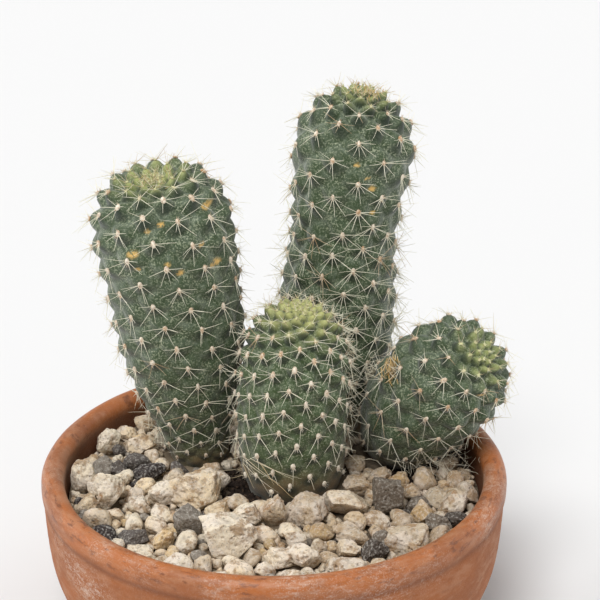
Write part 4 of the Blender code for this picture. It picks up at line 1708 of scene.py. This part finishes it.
class Rock(Enum):
    """Kinds of stone by colour."""

    CREAM = (0.93, 0.81, 0.64)
    TAN = (0.88, 0.71, 0.50)
    OCHRE = (0.76, 0.56, 0.32)
    BEIGE = (0.74, 0.60, 0.44)
    GREY = (0.27, 0.235, 0.200)
    SLATE = (0.125, 0.108, 0.100)
    LAVA = (0.045, 0.036, 0.036)


class Cut(Enum):
    """How a stone is broken: the planes that it is cut by, each a direction and a depth."""

    ROUGH = ()
    BLOCK = ((1, 0, 0.1, 0.33), (-1, 0, 0.05, 0.33), (0, 1, 0, 0.33), (0, -1, 0.1, 0.33),
             (0.1, 0, 1, 0.34), (0, 0, -1, 0.34))
    SHIELD = ((0.05, 0.1, 1, 0.30), (0.75, -0.1, -0.65, 0.31), (-0.95, -0.1, -0.25, 0.34),
              (0.05, -1, 0.2, 0.30), (-0.5, -0.2, 0.9, 0.38))
    SLAB = ((0, 0.3, 1, 0.30), (0.2, -0.5, 0.8, 0.30), (-0.7, -0.7, 0.1, 0.36),
            (0.8, -0.5, 0.2, 0.36))


@dataclass(frozen=True)
class Stone:
    """One stone that shows in front: its place in millimetres, its width and how tall it looks."""

    x: float
    y: float
    width: float
    tall: float
    kind: Rock
    turn: float = 0.0
    cut: Cut = Cut.ROUGH


SHOWN_STONES = (
    Stone(-50.9, 23.7, 7.0, 8.3, Rock.CREAM), Stone(-47.3, 29.5, 4.1, 4.1, Rock.TAN),
    Stone(-51.3, 11.8, 4.1, 4.1, Rock.CREAM), Stone(-42.2, 33.0, 6.7, 4.7, Rock.TAN),
    Stone(-39.2, 41.3, 5.7, 4.6, Rock.TAN), Stone(-35.5, 22.0, 7.8, 6.7, Rock.TAN),
    Stone(-41.5, 23.1, 4.1, 4.1, Rock.SLATE), Stone(-40.8, 12.9, 5.2, 4.6, Rock.SLATE),
    Stone(-32.7, 9.6, 8.8, 4.7, Rock.LAVA), Stone(-45.4, 18.0, 3.6, 3.6, Rock.BEIGE),
    Stone(-51.0, -1.2, 6.7, 9.3, Rock.CREAM), Stone(-46.0, 0.9, 4.7, 4.4, Rock.CREAM),
    Stone(-40.3, 5.2, 5.2, 4.8, Rock.CREAM), Stone(-35.8, -3.4, 5.2, 4.8, Rock.BEIGE),
    Stone(-42.1, -12.3, 8.3, 10.9, Rock.CREAM), Stone(-48.1, -11.2, 3.6, 3.6, Rock.GREY),
    Stone(-28.7, -6.0, 7.8, 7.2, Rock.CREAM),
    Stone(-20.2, -7.1, 14.2, 9.8, Rock.TAN, 18, Cut.SLAB),
    Stone(-14.4, -12.3, 6.7, 5.8, Rock.TAN), Stone(-35.0, -24.0, 8.3, 4.1, Rock.SLATE),
    Stone(-21.3, -25.0, 7.2, 9.3, Rock.GREY), Stone(-27.7, -26.5, 6.2, 5.4, Rock.OCHRE),
    Stone(-11.0, -33.3, 14.7, 10.9, Rock.CREAM, 4, Cut.SHIELD),
    Stone(-6.9, -17.9, 7.8, 7.0, Rock.CREAM), Stone(-0.1, -20.0, 7.2, 9.3, Rock.BEIGE),
    Stone(8.0, -15.9, 11.6, 8.8, Rock.BEIGE, -15), Stone(1.8, -34.3, 9.8, 5.7, Rock.CREAM),
    Stone(5.7, -25.5, 5.7, 5.0, Rock.CREAM), Stone(-32.3, -32.3, 8.8, 3.6, Rock.CREAM, -40),
    Stone(-1.8, -39.6, 5.2, 4.6, Rock.CREAM), Stone(18.9, -11.2, 12.4, 8.3, Rock.CREAM, 12),
    Stone(21.2, 2.0, 7.2, 5.2, Rock.BEIGE), Stone(29.3, -12.3, 8.5, 9.8, Rock.GREY, 5, Cut.BLOCK),
    Stone(27.5, 6.2, 6.2, 5.4, Rock.BEIGE), Stone(35.6, -2.3, 5.7, 5.0, Rock.BEIGE),
    Stone(37.4, -14.9, 7.2, 6.2, Rock.OCHRE), Stone(45.5, -10.2, 7.8, 6.7, Rock.CREAM),
    Stone(41.5, -18.9, 6.7, 5.6, Rock.GREY), Stone(19.7, -24.0, 8.8, 5.7, Rock.BEIGE),
    Stone(18.8, -30.9, 6.2, 5.4, Rock.CREAM), Stone(27.1, -25.5, 5.2, 4.8, Rock.GREY),
    Stone(25.2, -34.3, 7.2, 6.7, Rock.SLATE),
    Stone(33.5, -28.4, 11.9, 6.7, Rock.CREAM, 15, Cut.SLAB),
    Stone(11.2, -28.4, 5.2, 4.6, Rock.CREAM), Stone(7.2, -37.7, 9.3, 7.2, Rock.CREAM, -20),
    Stone(17.7, -39.6, 10.3, 4.1, Rock.CREAM, 20), Stone(47.2, 6.6, 4.7, 4.2, Rock.BEIGE),
    Stone(51.4, -1.2, 4.1, 3.8, Rock.BEIGE), Stone(47.4, -16.9, 6.2, 5.2, Rock.SLATE),
)

COMMON_ROCKS = ((Rock.CREAM, 0.42), (Rock.TAN, 0.23), (Rock.OCHRE, 0.06), (Rock.BEIGE, 0.2),
                (Rock.GREY, 0.05), (Rock.SLATE, 0.025), (Rock.LAVA, 0.015))


STONE_SHAPES = 6
BITE = 0.96
FLAT_DEPTHS = (0.27, 0.40)
LUMP_SCALE = 2.7
LUMP_DEPTH = 0.10
KNOB_SCALE = 6.5
KNOB_DEPTH = 0.07
GRAIN_SCALE = 17.0
GRAIN_DEPTH = 0.035
PIT_SCALE = 9.0
PIT_DEPTH = 0.35
PIT_EDGE = 0.28
# How strongly the dents, grain, pits and underside of a stone get painted shade.
KNOB_SHADE = 1.3
GRAIN_SHADE = 0.9
PIT_SHADE = 2.5
OPEN = 0.25
UNDERSIDE_SHADE = 0.75
UNDERSIDE_SHADE_EDGES = (0.12, -0.35)


@lru_cache
def ball(fineness: int) -> tuple[Array, Array]:
    """Points and triangles of an even ball, one across.

    Args:
        fineness: how often its faces are split.

    Returns:
        The points and the corners of the triangles.
    """
    bm = bmesh.new()
    bmesh.ops.create_icosphere(bm, subdivisions=fineness, radius=0.5)
    bm.verts.index_update()
    points = np.array([vert.co for vert in bm.verts])
    faces = np.array([[vert.index for vert in face.verts] for face in bm.faces])
    bm.free()
    return points, faces


def chip(rng: Generator, fineness: int, cut: Cut = Cut.ROUGH,
         flats: int = 11) -> tuple[Array, Array, Array]:
    """A broken, pitted stone that fills a box of side 1 about the origin.

    Args:
        rng: random numbers.
        fineness: how fine the ball is that it starts from.
        cut: planes that give it its main shape.
        flats: how many more flats are knocked off at random.

    Returns:
        The points, the triangles, and the painted shade of each point in its dents and pits and
        on its underside.
    """
    points, faces = ball(fineness)
    points = points.copy()
    planes = [(np.array(plane[:3], dtype=float), plane[3]) for plane in cut.value]
    flats = flats if not planes else flats // 3
    planes += [(way, rng.uniform(*FLAT_DEPTHS)) for way in rng.normal(size=(flats, 3))]
    for way, depth in planes:
        way = way / np.linalg.norm(way)
        excess = points @ way - depth
        points -= np.where(excess > 0, excess * BITE, 0.0)[:, None] * way
    shift = rng.uniform(0, 50, 3)
    hollow = np.empty(len(points))
    for index, row in enumerate(points):
        lumps = noise.noise(Vector(row * LUMP_SCALE + shift))
        knobs = noise.noise(Vector(row * KNOB_SCALE + shift))
        grain = noise.noise(Vector(row * GRAIN_SCALE + shift))
        pits = max(0.0, noise.noise(Vector(row * PIT_SCALE - shift)) - PIT_EDGE)
        row *= (1 + LUMP_DEPTH * lumps + KNOB_DEPTH * knobs + GRAIN_DEPTH * grain
                - PIT_DEPTH * pits)
        # Painted shade in the dents and pits.
        sunk = max(0.0, -knobs * KNOB_SHADE - grain * GRAIN_SHADE - OPEN)
        hollow[index] = min(1.0, sunk + PIT_SHADE * pits)
    points -= (points.max(0) + points.min(0)) / 2
    points /= points.max(0) - points.min(0)
    # Painted shade on the underside.
    under = UNDERSIDE_SHADE * smooth_step(points[:, 2], *UNDERSIDE_SHADE_EDGES)
    return points, faces, np.maximum(hollow, under)


@dataclass(frozen=True)
class Layer:
    """Stones too small to place one by one, from the largest size to the smallest.

    closeness is how far neighbours may push together, from 0 to 1, and lift how high their
    middles lie over the bed, as a share of their size.
    """

    name: str
    fineness: int
    sizes: Pair
    tries: int
    closeness: float
    lift: float


@dataclass(frozen=True)
class Gravel:
    """The top dressing: stones that show in front, a fill of smaller ones, and grit.

    dips are hollows in the soil, each with its middle and its reach, and dip their depth.
    seen_depth and seen_height are the shares of a stone's depth and height that the camera
    sees, shown_z the height at which the places were read, left_light the factors of a stone's
    colour with painted light on the left, and right_shade what they lose over
    rightward_shade_edges toward the right as painted shade, which also browns them. depths are
    the stones' depths as shares of their widths, sunk the share of its height at which a
    stone's middle lies over the bed, and each of lumps and grains the scale and the height of
    the bed's unevenness. pale_dust_and_light is the soil's pale dust and how much of it the
    right loses as painted shade.
    """

    bed_radius: float = 0.0531
    bed_top: float = 0.0382
    bed_bottom: float = 0.0344
    dip: float = 0.0026
    dips: tuple[Point, ...] = (
        (-0.0062, 0.0030, 0.0052), (-0.0112, 0.0085, 0.0042), (0.0000, -0.0030, 0.0040),
        (-0.0100, -0.0015, 0.0040), (-0.0045, -0.0055, 0.0040),
        (0.0058, -0.0050, 0.0030), (0.0340, 0.0120, 0.0050))
    camera_slope: float = math.tan(math.radians(24.46))
    seen_depth: float = 0.41
    seen_height: float = 0.91
    shown_z: float = 0.0415
    feet_top: float = 0.0465
    left_light: Colour = (1.12, 1.12, 1.09)
    right_shade: Colour = (0.37, 0.43, 0.48)
    brightest: float = 0.96
    rightward_shade_edges: Pair = (-0.02, 0.035)
    depths: Pair = (0.78, 0.95)
    sunk: float = 0.44
    least_rise: float = 0.0014
    wall_gap: float = 0.0002
    fine_width: float = 6
    sway: float = 6
    slant: float = 0.15
    shades: Pair = (0.86, 1.08)
    uneven: Pair = (0.85, 1.15)
    least_span: Point = (0.95, 0.8, 0.7)
    most_span: Point = (1.2, 1.0, 0.95)
    roll: float = 0.5
    small_shades: Pair = (0.8, 1.12)
    lumps: Pair = (260, 0.0006)
    grains: Pair = (1100, 0.0003)
    rings: int = 64
    columns: int = 190
    pale_dust_and_light: Pair = (0.85, 0.4)
    layers: tuple[Layer, ...] = (
        Layer("gravel_fill", fineness=3, sizes=(0.0070, 0.0034), tries=9000, closeness=0.86,
              lift=0.38),
        Layer("gravel_grit", fineness=2, sizes=(0.0032, 0.0013), tries=16000, closeness=0.78,
              lift=0.30))
    crumbs_each: int = 90
    crumb_sizes: Pair = (0.0006, 0.0021)
    seed: int = 5

    def free_of_stems(self, x: float, y: float, reach: float) -> bool:
        """Whether a stone is clear of every stem's foot and of the hollows.

        Args:
            x: its place across.
            y: its place away from the camera.
            reach: half its width.

        Returns:
            True where it is.
        """
        for middle_x, middle_y, wide in self.dips:
            if math.hypot(middle_x - x, middle_y - y) < wide + 0.5 * reach:
                return False
        for points, radii in self.feet:
            if (np.hypot(points[:, 0] - x, points[:, 1] - y) < radii + reach).any():
                return False
        return True

    @cached_property
    def feet(self) -> list[tuple[Array, Array]]:
        """The stems up to where the stones end.

        Returns:
            The centres and the reaches of each.
        """
        shares = np.linspace(0.08, 0.34, 9)
        rows = []
        for stem in STEMS:
            points = stem.axis(shares)
            low = points[:, 2] < self.feet_top
            rows.append((points[low], stem.radius(shares)[low] + stem.moat))
        return rows

    def shown(self, rng: Generator) -> tuple[Object, list[tuple]]:
        """The stones whose place, size and colour were read off.

        Args:
            rng: random numbers.

        Returns:
            The stones as one piece, and their places and reaches.
        """
        points, faces, tints, painted_shades, placed = [], [], [], [], []
        start = 0
        for stone in SHOWN_STONES:
            width = stone.width * MILLIMETRE
            depth = width * rng.uniform(*self.depths)
            tall = math.sqrt(max((stone.tall * MILLIMETRE) ** 2 - (self.seen_depth * depth) ** 2,
                                 (0.5 * width) ** 2)) / self.seen_height
            middle = self.bed_top + max(self.least_rise, tall * self.sunk)
            x = stone.x * MILLIMETRE
            y = stone.y * MILLIMETRE - (self.shown_z - middle) / self.camera_slope
            limit = self.bed_radius - width / 2 - self.wall_gap
            pull = min(1.0, limit / math.hypot(x, y))
            x, y = x * pull, y * pull
            fineness = 5 if stone.width > self.fine_width else 4
            rows, corners, hollow = chip(rng, fineness, stone.cut)
            rows = rows * np.array([width, depth, tall])
            turn = math.radians(stone.turn + rng.uniform(-self.sway, self.sway))
            lean = rng.uniform(-self.slant, self.slant, 2)
            rows[:, 2] += rows[:, :2] @ lean
            turned = rows[:, :2] @ np.array([[math.cos(turn), math.sin(turn)],
                                             [-math.sin(turn), math.cos(turn)]])
            points.append(np.column_stack([turned + (x, y), rows[:, 2] + middle]))
            faces.append(corners + start)
            start += len(rows)
            tint = self.lit_tint(stone.kind, rng.uniform(*self.shades), x)
            tints.append(np.tile(tint, (len(rows), 1)))
            painted_shades.append(hollow)
            placed.append((x, y, (width + depth) / 4))
        thing = mesh_object("gravel_shown", np.concatenate(points), np.concatenate(faces))
        carry(thing, tint=np.concatenate(tints), hollow=np.concatenate(painted_shades))
        thing.data.materials.append(PUMICE.material())
        return thing, placed

    def scattered(self, rng: Generator, placed: list[tuple], layer: Layer) -> Object:
        """Points for smaller stones in the room that is left.

        Args:
            rng: random numbers.
            placed: places and reaches of the stones so far, added to here.
            layer: what the stones are like.

        Returns:
            An object of loose points, marked for scattering.
        """
        taken = np.array(placed)
        points, spans, turns, tints = [], [], [], []
        kinds = [kind for kind, _ in COMMON_ROCKS]
        odds = np.array([share for _, share in COMMON_ROCKS])
        largest, smallest = layer.sizes
        for attempt in range(layer.tries):
            size = largest + (smallest - largest) * attempt / layer.tries
            size *= rng.uniform(*self.uneven)
            angle, far = rng.uniform(0, math.tau), self.bed_radius * math.sqrt(rng.random())
            x, y = far * math.cos(angle), far * math.sin(angle)
            reach = size / 2
            if far + reach > self.bed_radius or not self.free_of_stems(x, y, reach):
                continue
            apart = np.hypot(taken[:, 0] - x, taken[:, 1] - y)
            if (apart - (taken[:, 2] + reach) * layer.closeness).min() < 0:
                continue
            taken = np.concatenate([taken, [(x, y, reach)]])
            span = size * rng.uniform(self.least_span, self.most_span)
            points.append((x, y, self.bed_top + span[2] * layer.lift))
            spans.append(span)
            turns.append(rng.uniform((-self.roll, -self.roll, 0.0),
                                     (self.roll, self.roll, math.tau)))
            kind = kinds[rng.choice(len(kinds), p=odds / odds.sum())]
            tints.append(self.lit_tint(kind, rng.uniform(*self.small_shades), x))
        placed[:] = [tuple(row) for row in taken]
        thing = mesh_object("stone_points", np.array(points))
        carry(thing, size=spans, turn=turns, tint=tints,
              kind=rng.integers(0, STONE_SHAPES, len(points)))
        return thing

    def lit_tint(self, kind: Rock, shade: float, x: float) -> tuple[float, ...]:
        """A stone's tint, with painted light on the left and painted shade toward the right, which
        also browns it.

        Args:
            kind: the stone's kind.
            shade: how light it is of its kind.
            x: its place across.

        Returns:
            The tint, with an alpha of 1.
        """
        # Painted light on the left and painted shade toward the right.
        rightward_shade = self.rightward_shade(x)
        tint = [value * shade * (left_light - right_shade * rightward_shade)
                for value, left_light, right_shade in zip(kind.value, self.left_light, self.right_shade)]
        brightest = max(self.brightest, *tint)
        return (*(value * self.brightest / brightest for value in tint), 1.0)

    def rightward_shade(self, x: float) -> float:
        """How much painted shade the stones get: from 0 on the left to 1 on the right."""
        return float(smooth_step(x, *self.rightward_shade_edges))

    def fall(self, x: float, y: float) -> float:
        """How far down a hollow a place of the bed is: from 0 on the flat to 1 in the middle."""
        return max(math.exp(-((x - middle_x) ** 2 + (y - middle_y) ** 2) / wide ** 2)
                   for middle_x, middle_y, wide in self.dips)

    def bed_height(self, x: float, y: float) -> float:
        """Height of the soil's surface, lower in the hollows.

        Args:
            x: the place across.
            y: the place away from the camera.

        Returns:
            The height there.
        """
        height = self.bed_top - self.dip * self.fall(x, y)
        for (scale, rise), level in ((self.lumps, 0.4), (self.grains, 7.4)):
            height += rise * noise.noise(Vector((x * scale, y * scale, level)))
        return height

    def crumbs(self, rng: Generator) -> Object:
        """Places for crumbs of soil in the hollows, marked for scattering.

        Args:
            rng: random numbers.

        Returns:
            An object of loose points.
        """
        points, spans = [], []
        for middle_x, middle_y, wide in self.dips:
            for _ in range(self.crumbs_each):
                x, y = rng.normal((middle_x, middle_y), wide * 0.6)
                span = rng.uniform(*self.crumb_sizes) * rng.uniform(0.7, 1.0, 3)
                points.append((x, y, self.bed_height(x, y) + span[2] * 0.2))
                spans.append(span)
        thing = mesh_object("crumb_points", np.array(points))
        carry(thing, size=spans, turn=rng.uniform(0, math.tau, (len(points), 3)),
              kind=rng.integers(0, STONE_SHAPES, len(points)))
        return thing

    def bed(self) -> Object:
        """A disc of dark soil under the stones, uneven on top.

        Returns:
            The disc, with the dust and the painted shade that its finish reads.
        """
        rings, columns = self.rings, self.columns
        dusty, right_shade_loss = self.pale_dust_and_light
        rows = [(0.0, 0.0, self.bed_height(0.0, 0.0))]
        for far in np.linspace(0.0, self.bed_radius, rings + 1)[1:]:
            for angle in np.linspace(0.0, math.tau, columns, endpoint=False):
                x, y = far * math.cos(angle), far * math.sin(angle)
                rows.append((x, y, self.bed_height(x, y)))
        rows += [(x, y, self.bed_bottom) for x, y, _ in rows[-columns:]]
        rows.append((0.0, 0.0, self.bed_bottom))
        last = 1 + rings * columns
        faces = [(0, 1 + column, 1 + (column + 1) % columns) for column in range(columns)]
        faces += [(1 + a, 1 + d, 1 + c, 1 + b) for a, b, c, d in grid_faces(rings + 1, columns)]
        faces += [(last + (column + 1) % columns, last + column, len(rows) - 1)
                  for column in range(columns)]
        thing = mesh_object("gravel_bed", np.array(rows), faces)
        # Pale dust, none in the middles of the hollows and less toward the right as painted shade.
        carry(thing, dusty=[(1 - self.fall(x, y)) ** 2 * (dusty - right_shade_loss * self.rightward_shade(x))
                            for x, y, _ in rows])
        thing.data.materials.append(SOIL.material())
        return thing

    def build(self, scatter: Growth) -> None:
        """Builds and seats all the stones.

        Args:
            scatter: the tree that puts small shapes on points.
        """
        rng = default_rng(self.seed)
        shown, placed = self.shown(rng)
        seat(shown, "pumice", "gravel")
        finish = PUMICE.material()
        for layer in self.layers:
            shapes = shape_set(rng, layer.fineness, STONE_SHAPES)
            points = self.scattered(rng, placed, layer)
            seat(scatter.grow(points, finish, layer.name, Shapes=shapes), "pumice")
            drop_shapes(shapes)
        shapes = shape_set(rng, 2, STONE_SHAPES)
        seat(scatter.grow(self.crumbs(rng), SOIL.material(), "soil_crumbs", Shapes=shapes), "soil")
        drop_shapes(shapes)
        seat(self.bed(), "soil")


def shape_set(rng: Generator, fineness: int, count: int,
              round_shapes: bool = False) -> Collection:
    """A few shapes to scatter, one across: stones, or round tufts of wool.

    Args:
        rng: random numbers.
        fineness: how fine they are.
        count: how many there are.
        round_shapes: True for tufts.

    Returns:
        A collection that isn't in the scene.
    """
    collection = bpy.data.collections.new("shapes")
    for number in range(count):
        points, faces, hollow = chip(rng, fineness, flats=0 if round_shapes else 10)
        thing = mesh_object(f"shape_{number}", points, faces)
        carry(thing, hollow=hollow)
        bpy.context.scene.collection.objects.unlink(thing)
        collection.objects.link(thing)
    return collection


def drop_shapes(collection: Collection) -> None:
    """Removes shapes once they have been scattered.

    Args:
        collection: the shapes.
    """
    for thing in list(collection.objects):
        bpy.data.objects.remove(thing, do_unlink=True)
    bpy.data.collections.remove(collection)


# Dry remains


@dataclass(frozen=True)
class Tangle:
    """Dry strands caught in one place: the middle, the reach each way, and what they are like."""

    middle: Point
    reach: Point
    strands: int
    length: float
    girth: float
    tone: Pair
    curl: float = 0.9
    way: Point = (0.0, 0.0, 0.0)


@dataclass(frozen=True)
class Remains:
    """Old bristles and withered flowers between the stems and round the front stem's foot.

    gather is how close the strands of a tangle lie to its middle, pull how strongly they
    follow its way, wander how much each joint turns, and thinning what a strand loses in girth.
    """

    foot_bristles: int = 11
    foot_starts: Pair = (178, 245)
    foot_spans: Pair = (14, 58)
    foot_tops: Pair = (0.0450, 0.0520)
    foot_drops: Pair = (0.0020, 0.0075)
    foot_flare: float = 0.0035
    foot_girth: float = 0.00017
    lowest: float = 0.0412
    foot_gap: float = 0.0009
    foot_tones: Pair = (0.1, 0.7)
    gather: float = 0.7
    pull: float = 1.6
    lengths: Pair = (0.6, 1.2)
    wander: float = 0.10
    thinning: float = 0.7
    joints: int = 10
    seed: int = 21
    tangles: tuple[Tangle, ...] = (
        Tangle((0.0188, 0.0055, 0.0765), (0.0010, 0.0012, 0.0055), 30, 0.0044, 0.00015,
               (0.0, 0.45), 1.0, (0.1, -0.2, -0.6)),
        Tangle((0.0190, 0.0050, 0.0640), (0.0010, 0.0012, 0.0060), 30, 0.0050, 0.00014,
               (0.0, 0.3), 0.8, (0.2, -0.2, -0.7)),
        Tangle((0.0260, 0.0235, 0.0618), (0.0013, 0.0012, 0.0017), 70, 0.0036, 0.00028,
               (0.0, 0.05), 2.2),
        Tangle((0.0302, 0.0080, 0.0712), (0.0015, 0.0010, 0.0028), 64, 0.0040, 0.00034,
               (0.3, 1.0), 0.8, (0.0, -0.4, -1.2)),
        Tangle((0.0400, 0.0070, 0.0440), (0.0085, 0.0030, 0.0012), 90, 0.0056, 0.00013,
               (0.0, 0.1), 0.8, (0.0, -0.3, -0.2)),
        Tangle((-0.0060, 0.0060, 0.0420), (0.0040, 0.0030, 0.0010), 26, 0.0060, 0.00016,
               (0.1, 0.6), 0.8),
        Tangle((0.0236, 0.0325, 0.1366), (0.0036, 0.0024, 0.0008), 80, 0.0027, 0.00017,
               (0.2, 1.0), 1.4, (0.0, -0.2, 0.1)),
        Tangle((-0.0300, 0.0130, 0.1196), (0.0032, 0.0024, 0.0006), 44, 0.0030, 0.00015,
               (0.1, 0.8), 0.9, (0.0, -0.2, 0.4)),
    )

    def tangled(self, tangle: Tangle, rng: Generator) -> list[Array]:
        """Curling lines about one place.

        Args:
            tangle: where they are and what they are like.
            rng: random numbers.

        Returns:
            The points of each line.
        """
        lines = []
        for _ in range(tangle.strands):
            point = rng.normal(tangle.middle, np.array(tangle.reach) * self.gather)
            way = unit(rng.normal(size=3) + np.array(tangle.way) * self.pull)
            bend = rng.normal(size=3) * tangle.curl
            step = tangle.length * rng.uniform(*self.lengths) / self.joints
            line = [point]
            for _ in range(self.joints - 1):
                way = unit(way + bend / self.joints + rng.normal(size=3) * self.wander)
                point = point + way * step
                line.append(point)
            lines.append(np.array(line))
        return lines

    def round_foot(self, stem: Stem, rng: Generator) -> list[Array]:
        """Long bristles that lie round the front of a stem's foot.

        Args:
            stem: the stem.
            rng: random numbers.

        Returns:
            The points of each bristle.
        """
        shares = np.linspace(0.05, 0.6, 300)
        axis, radii = stem.axis(shares), stem.radius(shares)
        lines = []
        for _ in range(self.foot_bristles):
            start = math.radians(rng.uniform(*self.foot_starts))
            span = math.radians(rng.uniform(*self.foot_spans))
            top, drop = rng.uniform(*self.foot_tops), rng.uniform(*self.foot_drops)
            flare = rng.uniform(0.0, self.foot_flare)
            line = []
            for part in np.linspace(0, 1, self.joints):
                height = max(self.lowest, top - drop * part ** 1.6)
                index = np.argmin(abs(axis[:, 2] - height))
                angle = start + span * part
                far = radii[index] + self.foot_gap + flare * part ** 2
                line.append((axis[index, 0] + far * math.cos(angle),
                             axis[index, 1] + far * math.sin(angle), height))
            lines.append(np.array(line))
        return lines

    def build(self, strands: Growth, stem: Stem) -> None:
        """Builds and seats the remains.

        Args:
            strands: the tree that gives lines a section.
            stem: the stem that has bristles round its foot.
        """
        rng = default_rng(self.seed)
        lines = self.round_foot(stem, rng)
        girths = [self.foot_girth] * len(lines)
        tones = [rng.uniform(*self.foot_tones) for _ in lines]
        for tangle in self.tangles:
            for line in self.tangled(tangle, rng):
                lines.append(line)
                girths.append(tangle.girth)
                tones.append(rng.uniform(*tangle.tone))
        count = len(lines)
        edges = [(line * self.joints + joint, line * self.joints + joint + 1)
                 for line in range(count) for joint in range(self.joints - 1)]
        thing = mesh_object("strand_points", np.concatenate(lines), edges=edges)
        part = np.tile(np.linspace(0, 1, self.joints), count)
        carry(thing, girth=np.repeat(girths, self.joints) * (1 - self.thinning * part ** 2),
              tone=np.repeat(tones, self.joints), along=part)
        seat(strands.grow(thing, DRY.material(), "dry_remains"), "skin")


# Studio


@dataclass(frozen=True)
class Studio:
    """The camera, a pale floor and soft light."""

    target: Point = (0.0067, 0.0, 0.0932)
    distance: float = 0.600
    elevation: float = 24.46
    view_angle: float = 14.256
    sky: float = 0.42
    floor_half: float = 6.0

    def camera(self) -> None:
        """Looks at the plants from in front and above."""
        data = bpy.data.cameras.new("camera")
        data.sensor_fit = "HORIZONTAL"
        data.angle = math.radians(self.view_angle)
        data.clip_start = 0.01
        thing = linked("camera", data)
        rise = math.radians(self.elevation)
        back = Vector((0.0, -math.cos(rise), math.sin(rise)))
        thing.location = Vector(self.target) + back * self.distance
        thing.rotation_euler = back.to_track_quat("Z", "Y").to_euler()
        bpy.context.scene.camera = thing

    def floor(self) -> None:
        """A wide pale floor."""
        half = self.floor_half
        corners = np.array([(-half, -half, 0.0), (half, -half, 0.0), (half, half, 0.0),
                            (-half, half, 0.0)])
        thing = mesh_object("floor", corners, [(0, 1, 2, 3)], smooth=False)
        thing.data.materials.append(FLOOR.material())

    def lamp(self, name: str, azimuth: float, elevation: float, power: float,
             softness: float) -> None:
        """A broad, distant soft light.

        Args:
            name: the light's name.
            azimuth: degrees round from the camera's side toward +X.
            elevation: degrees over the floor.
            power: its strength.
            softness: degrees that it spans.
        """
        data = bpy.data.lights.new(name, "SUN")
        data.energy = power
        data.angle = math.radians(softness)
        thing = linked(name, data)
        turn, rise = math.radians(azimuth), math.radians(elevation)
        way = Vector((math.sin(turn) * math.cos(rise), -math.cos(turn) * math.cos(rise),
                      math.sin(rise)))
        thing.location = way
        thing.rotation_euler = way.to_track_quat("Z", "Y").to_euler()

    def build(self) -> None:
        """Sets the floor and the lights round the camera's view."""
        world = bpy.data.worlds.new("studio")
        world.use_nodes = True
        sky = world.node_tree.nodes["Background"]
        sky.inputs["Color"].default_value = (1.0, 1.0, 1.0, 1.0)
        sky.inputs["Strength"].default_value = self.sky
        bpy.context.scene.world = world
        bpy.context.scene.view_settings.view_transform = "Standard"
        self.floor()
        self.lamp("top", azimuth=-22, elevation=60, power=2.0, softness=26)
        self.lamp("left", azimuth=-105, elevation=30, power=0.95, softness=50)
        self.lamp("right", azimuth=110, elevation=30, power=0.5, softness=50)


def main() -> None:
    """Builds the camera, the bowl, the stones, the stems, the dry remains and the studio.
    """
    logging.basicConfig(level=logging.INFO, format="%(message)s")
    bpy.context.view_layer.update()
    studio = Studio()
    studio.camera()
    bristles, scatter, strands = bristle_growth(), scatter_growth(), strand_growth()
    bowl = Bowl()
    bowl.build()
    soil = frame["nodes"]["soil"].data
    soil.materials.clear()
    soil.materials.append(SOIL.material())
    Gravel().build(scatter)
    room = Room(STEMS, bowl)
    spine, wool = SPINE.material(), WOOL.material()
    tufts = shape_set(default_rng(TUFT_SEED), 2, TUFT_SHAPES, round_shapes=True)
    for stem in STEMS:
        rng = default_rng(stem.seed)
        slot = stem.finish.name
        areoles = stem.areoles()
        seat(stem.body(areoles), slot, stem.name)
        seat(scatter.grow(stem.wool_points(areoles, rng), wool, f"{stem.name}_wool",
                          Shapes=tufts), slot)
        seat(bristles.grow(stem.hair_points(areoles, rng), wool, f"{stem.name}_hairs",
                           Sides=3, Segments=1, Bend=1.5), slot)
        seat(bristles.grow(stem.spine_points(areoles, room, rng), spine, f"{stem.name}_spines",
                           Bend=2.0), slot)
    drop_shapes(tufts)
    Remains().build(strands, STEMS[2])
    studio.build()


if __name__ == "__main__":
    main()
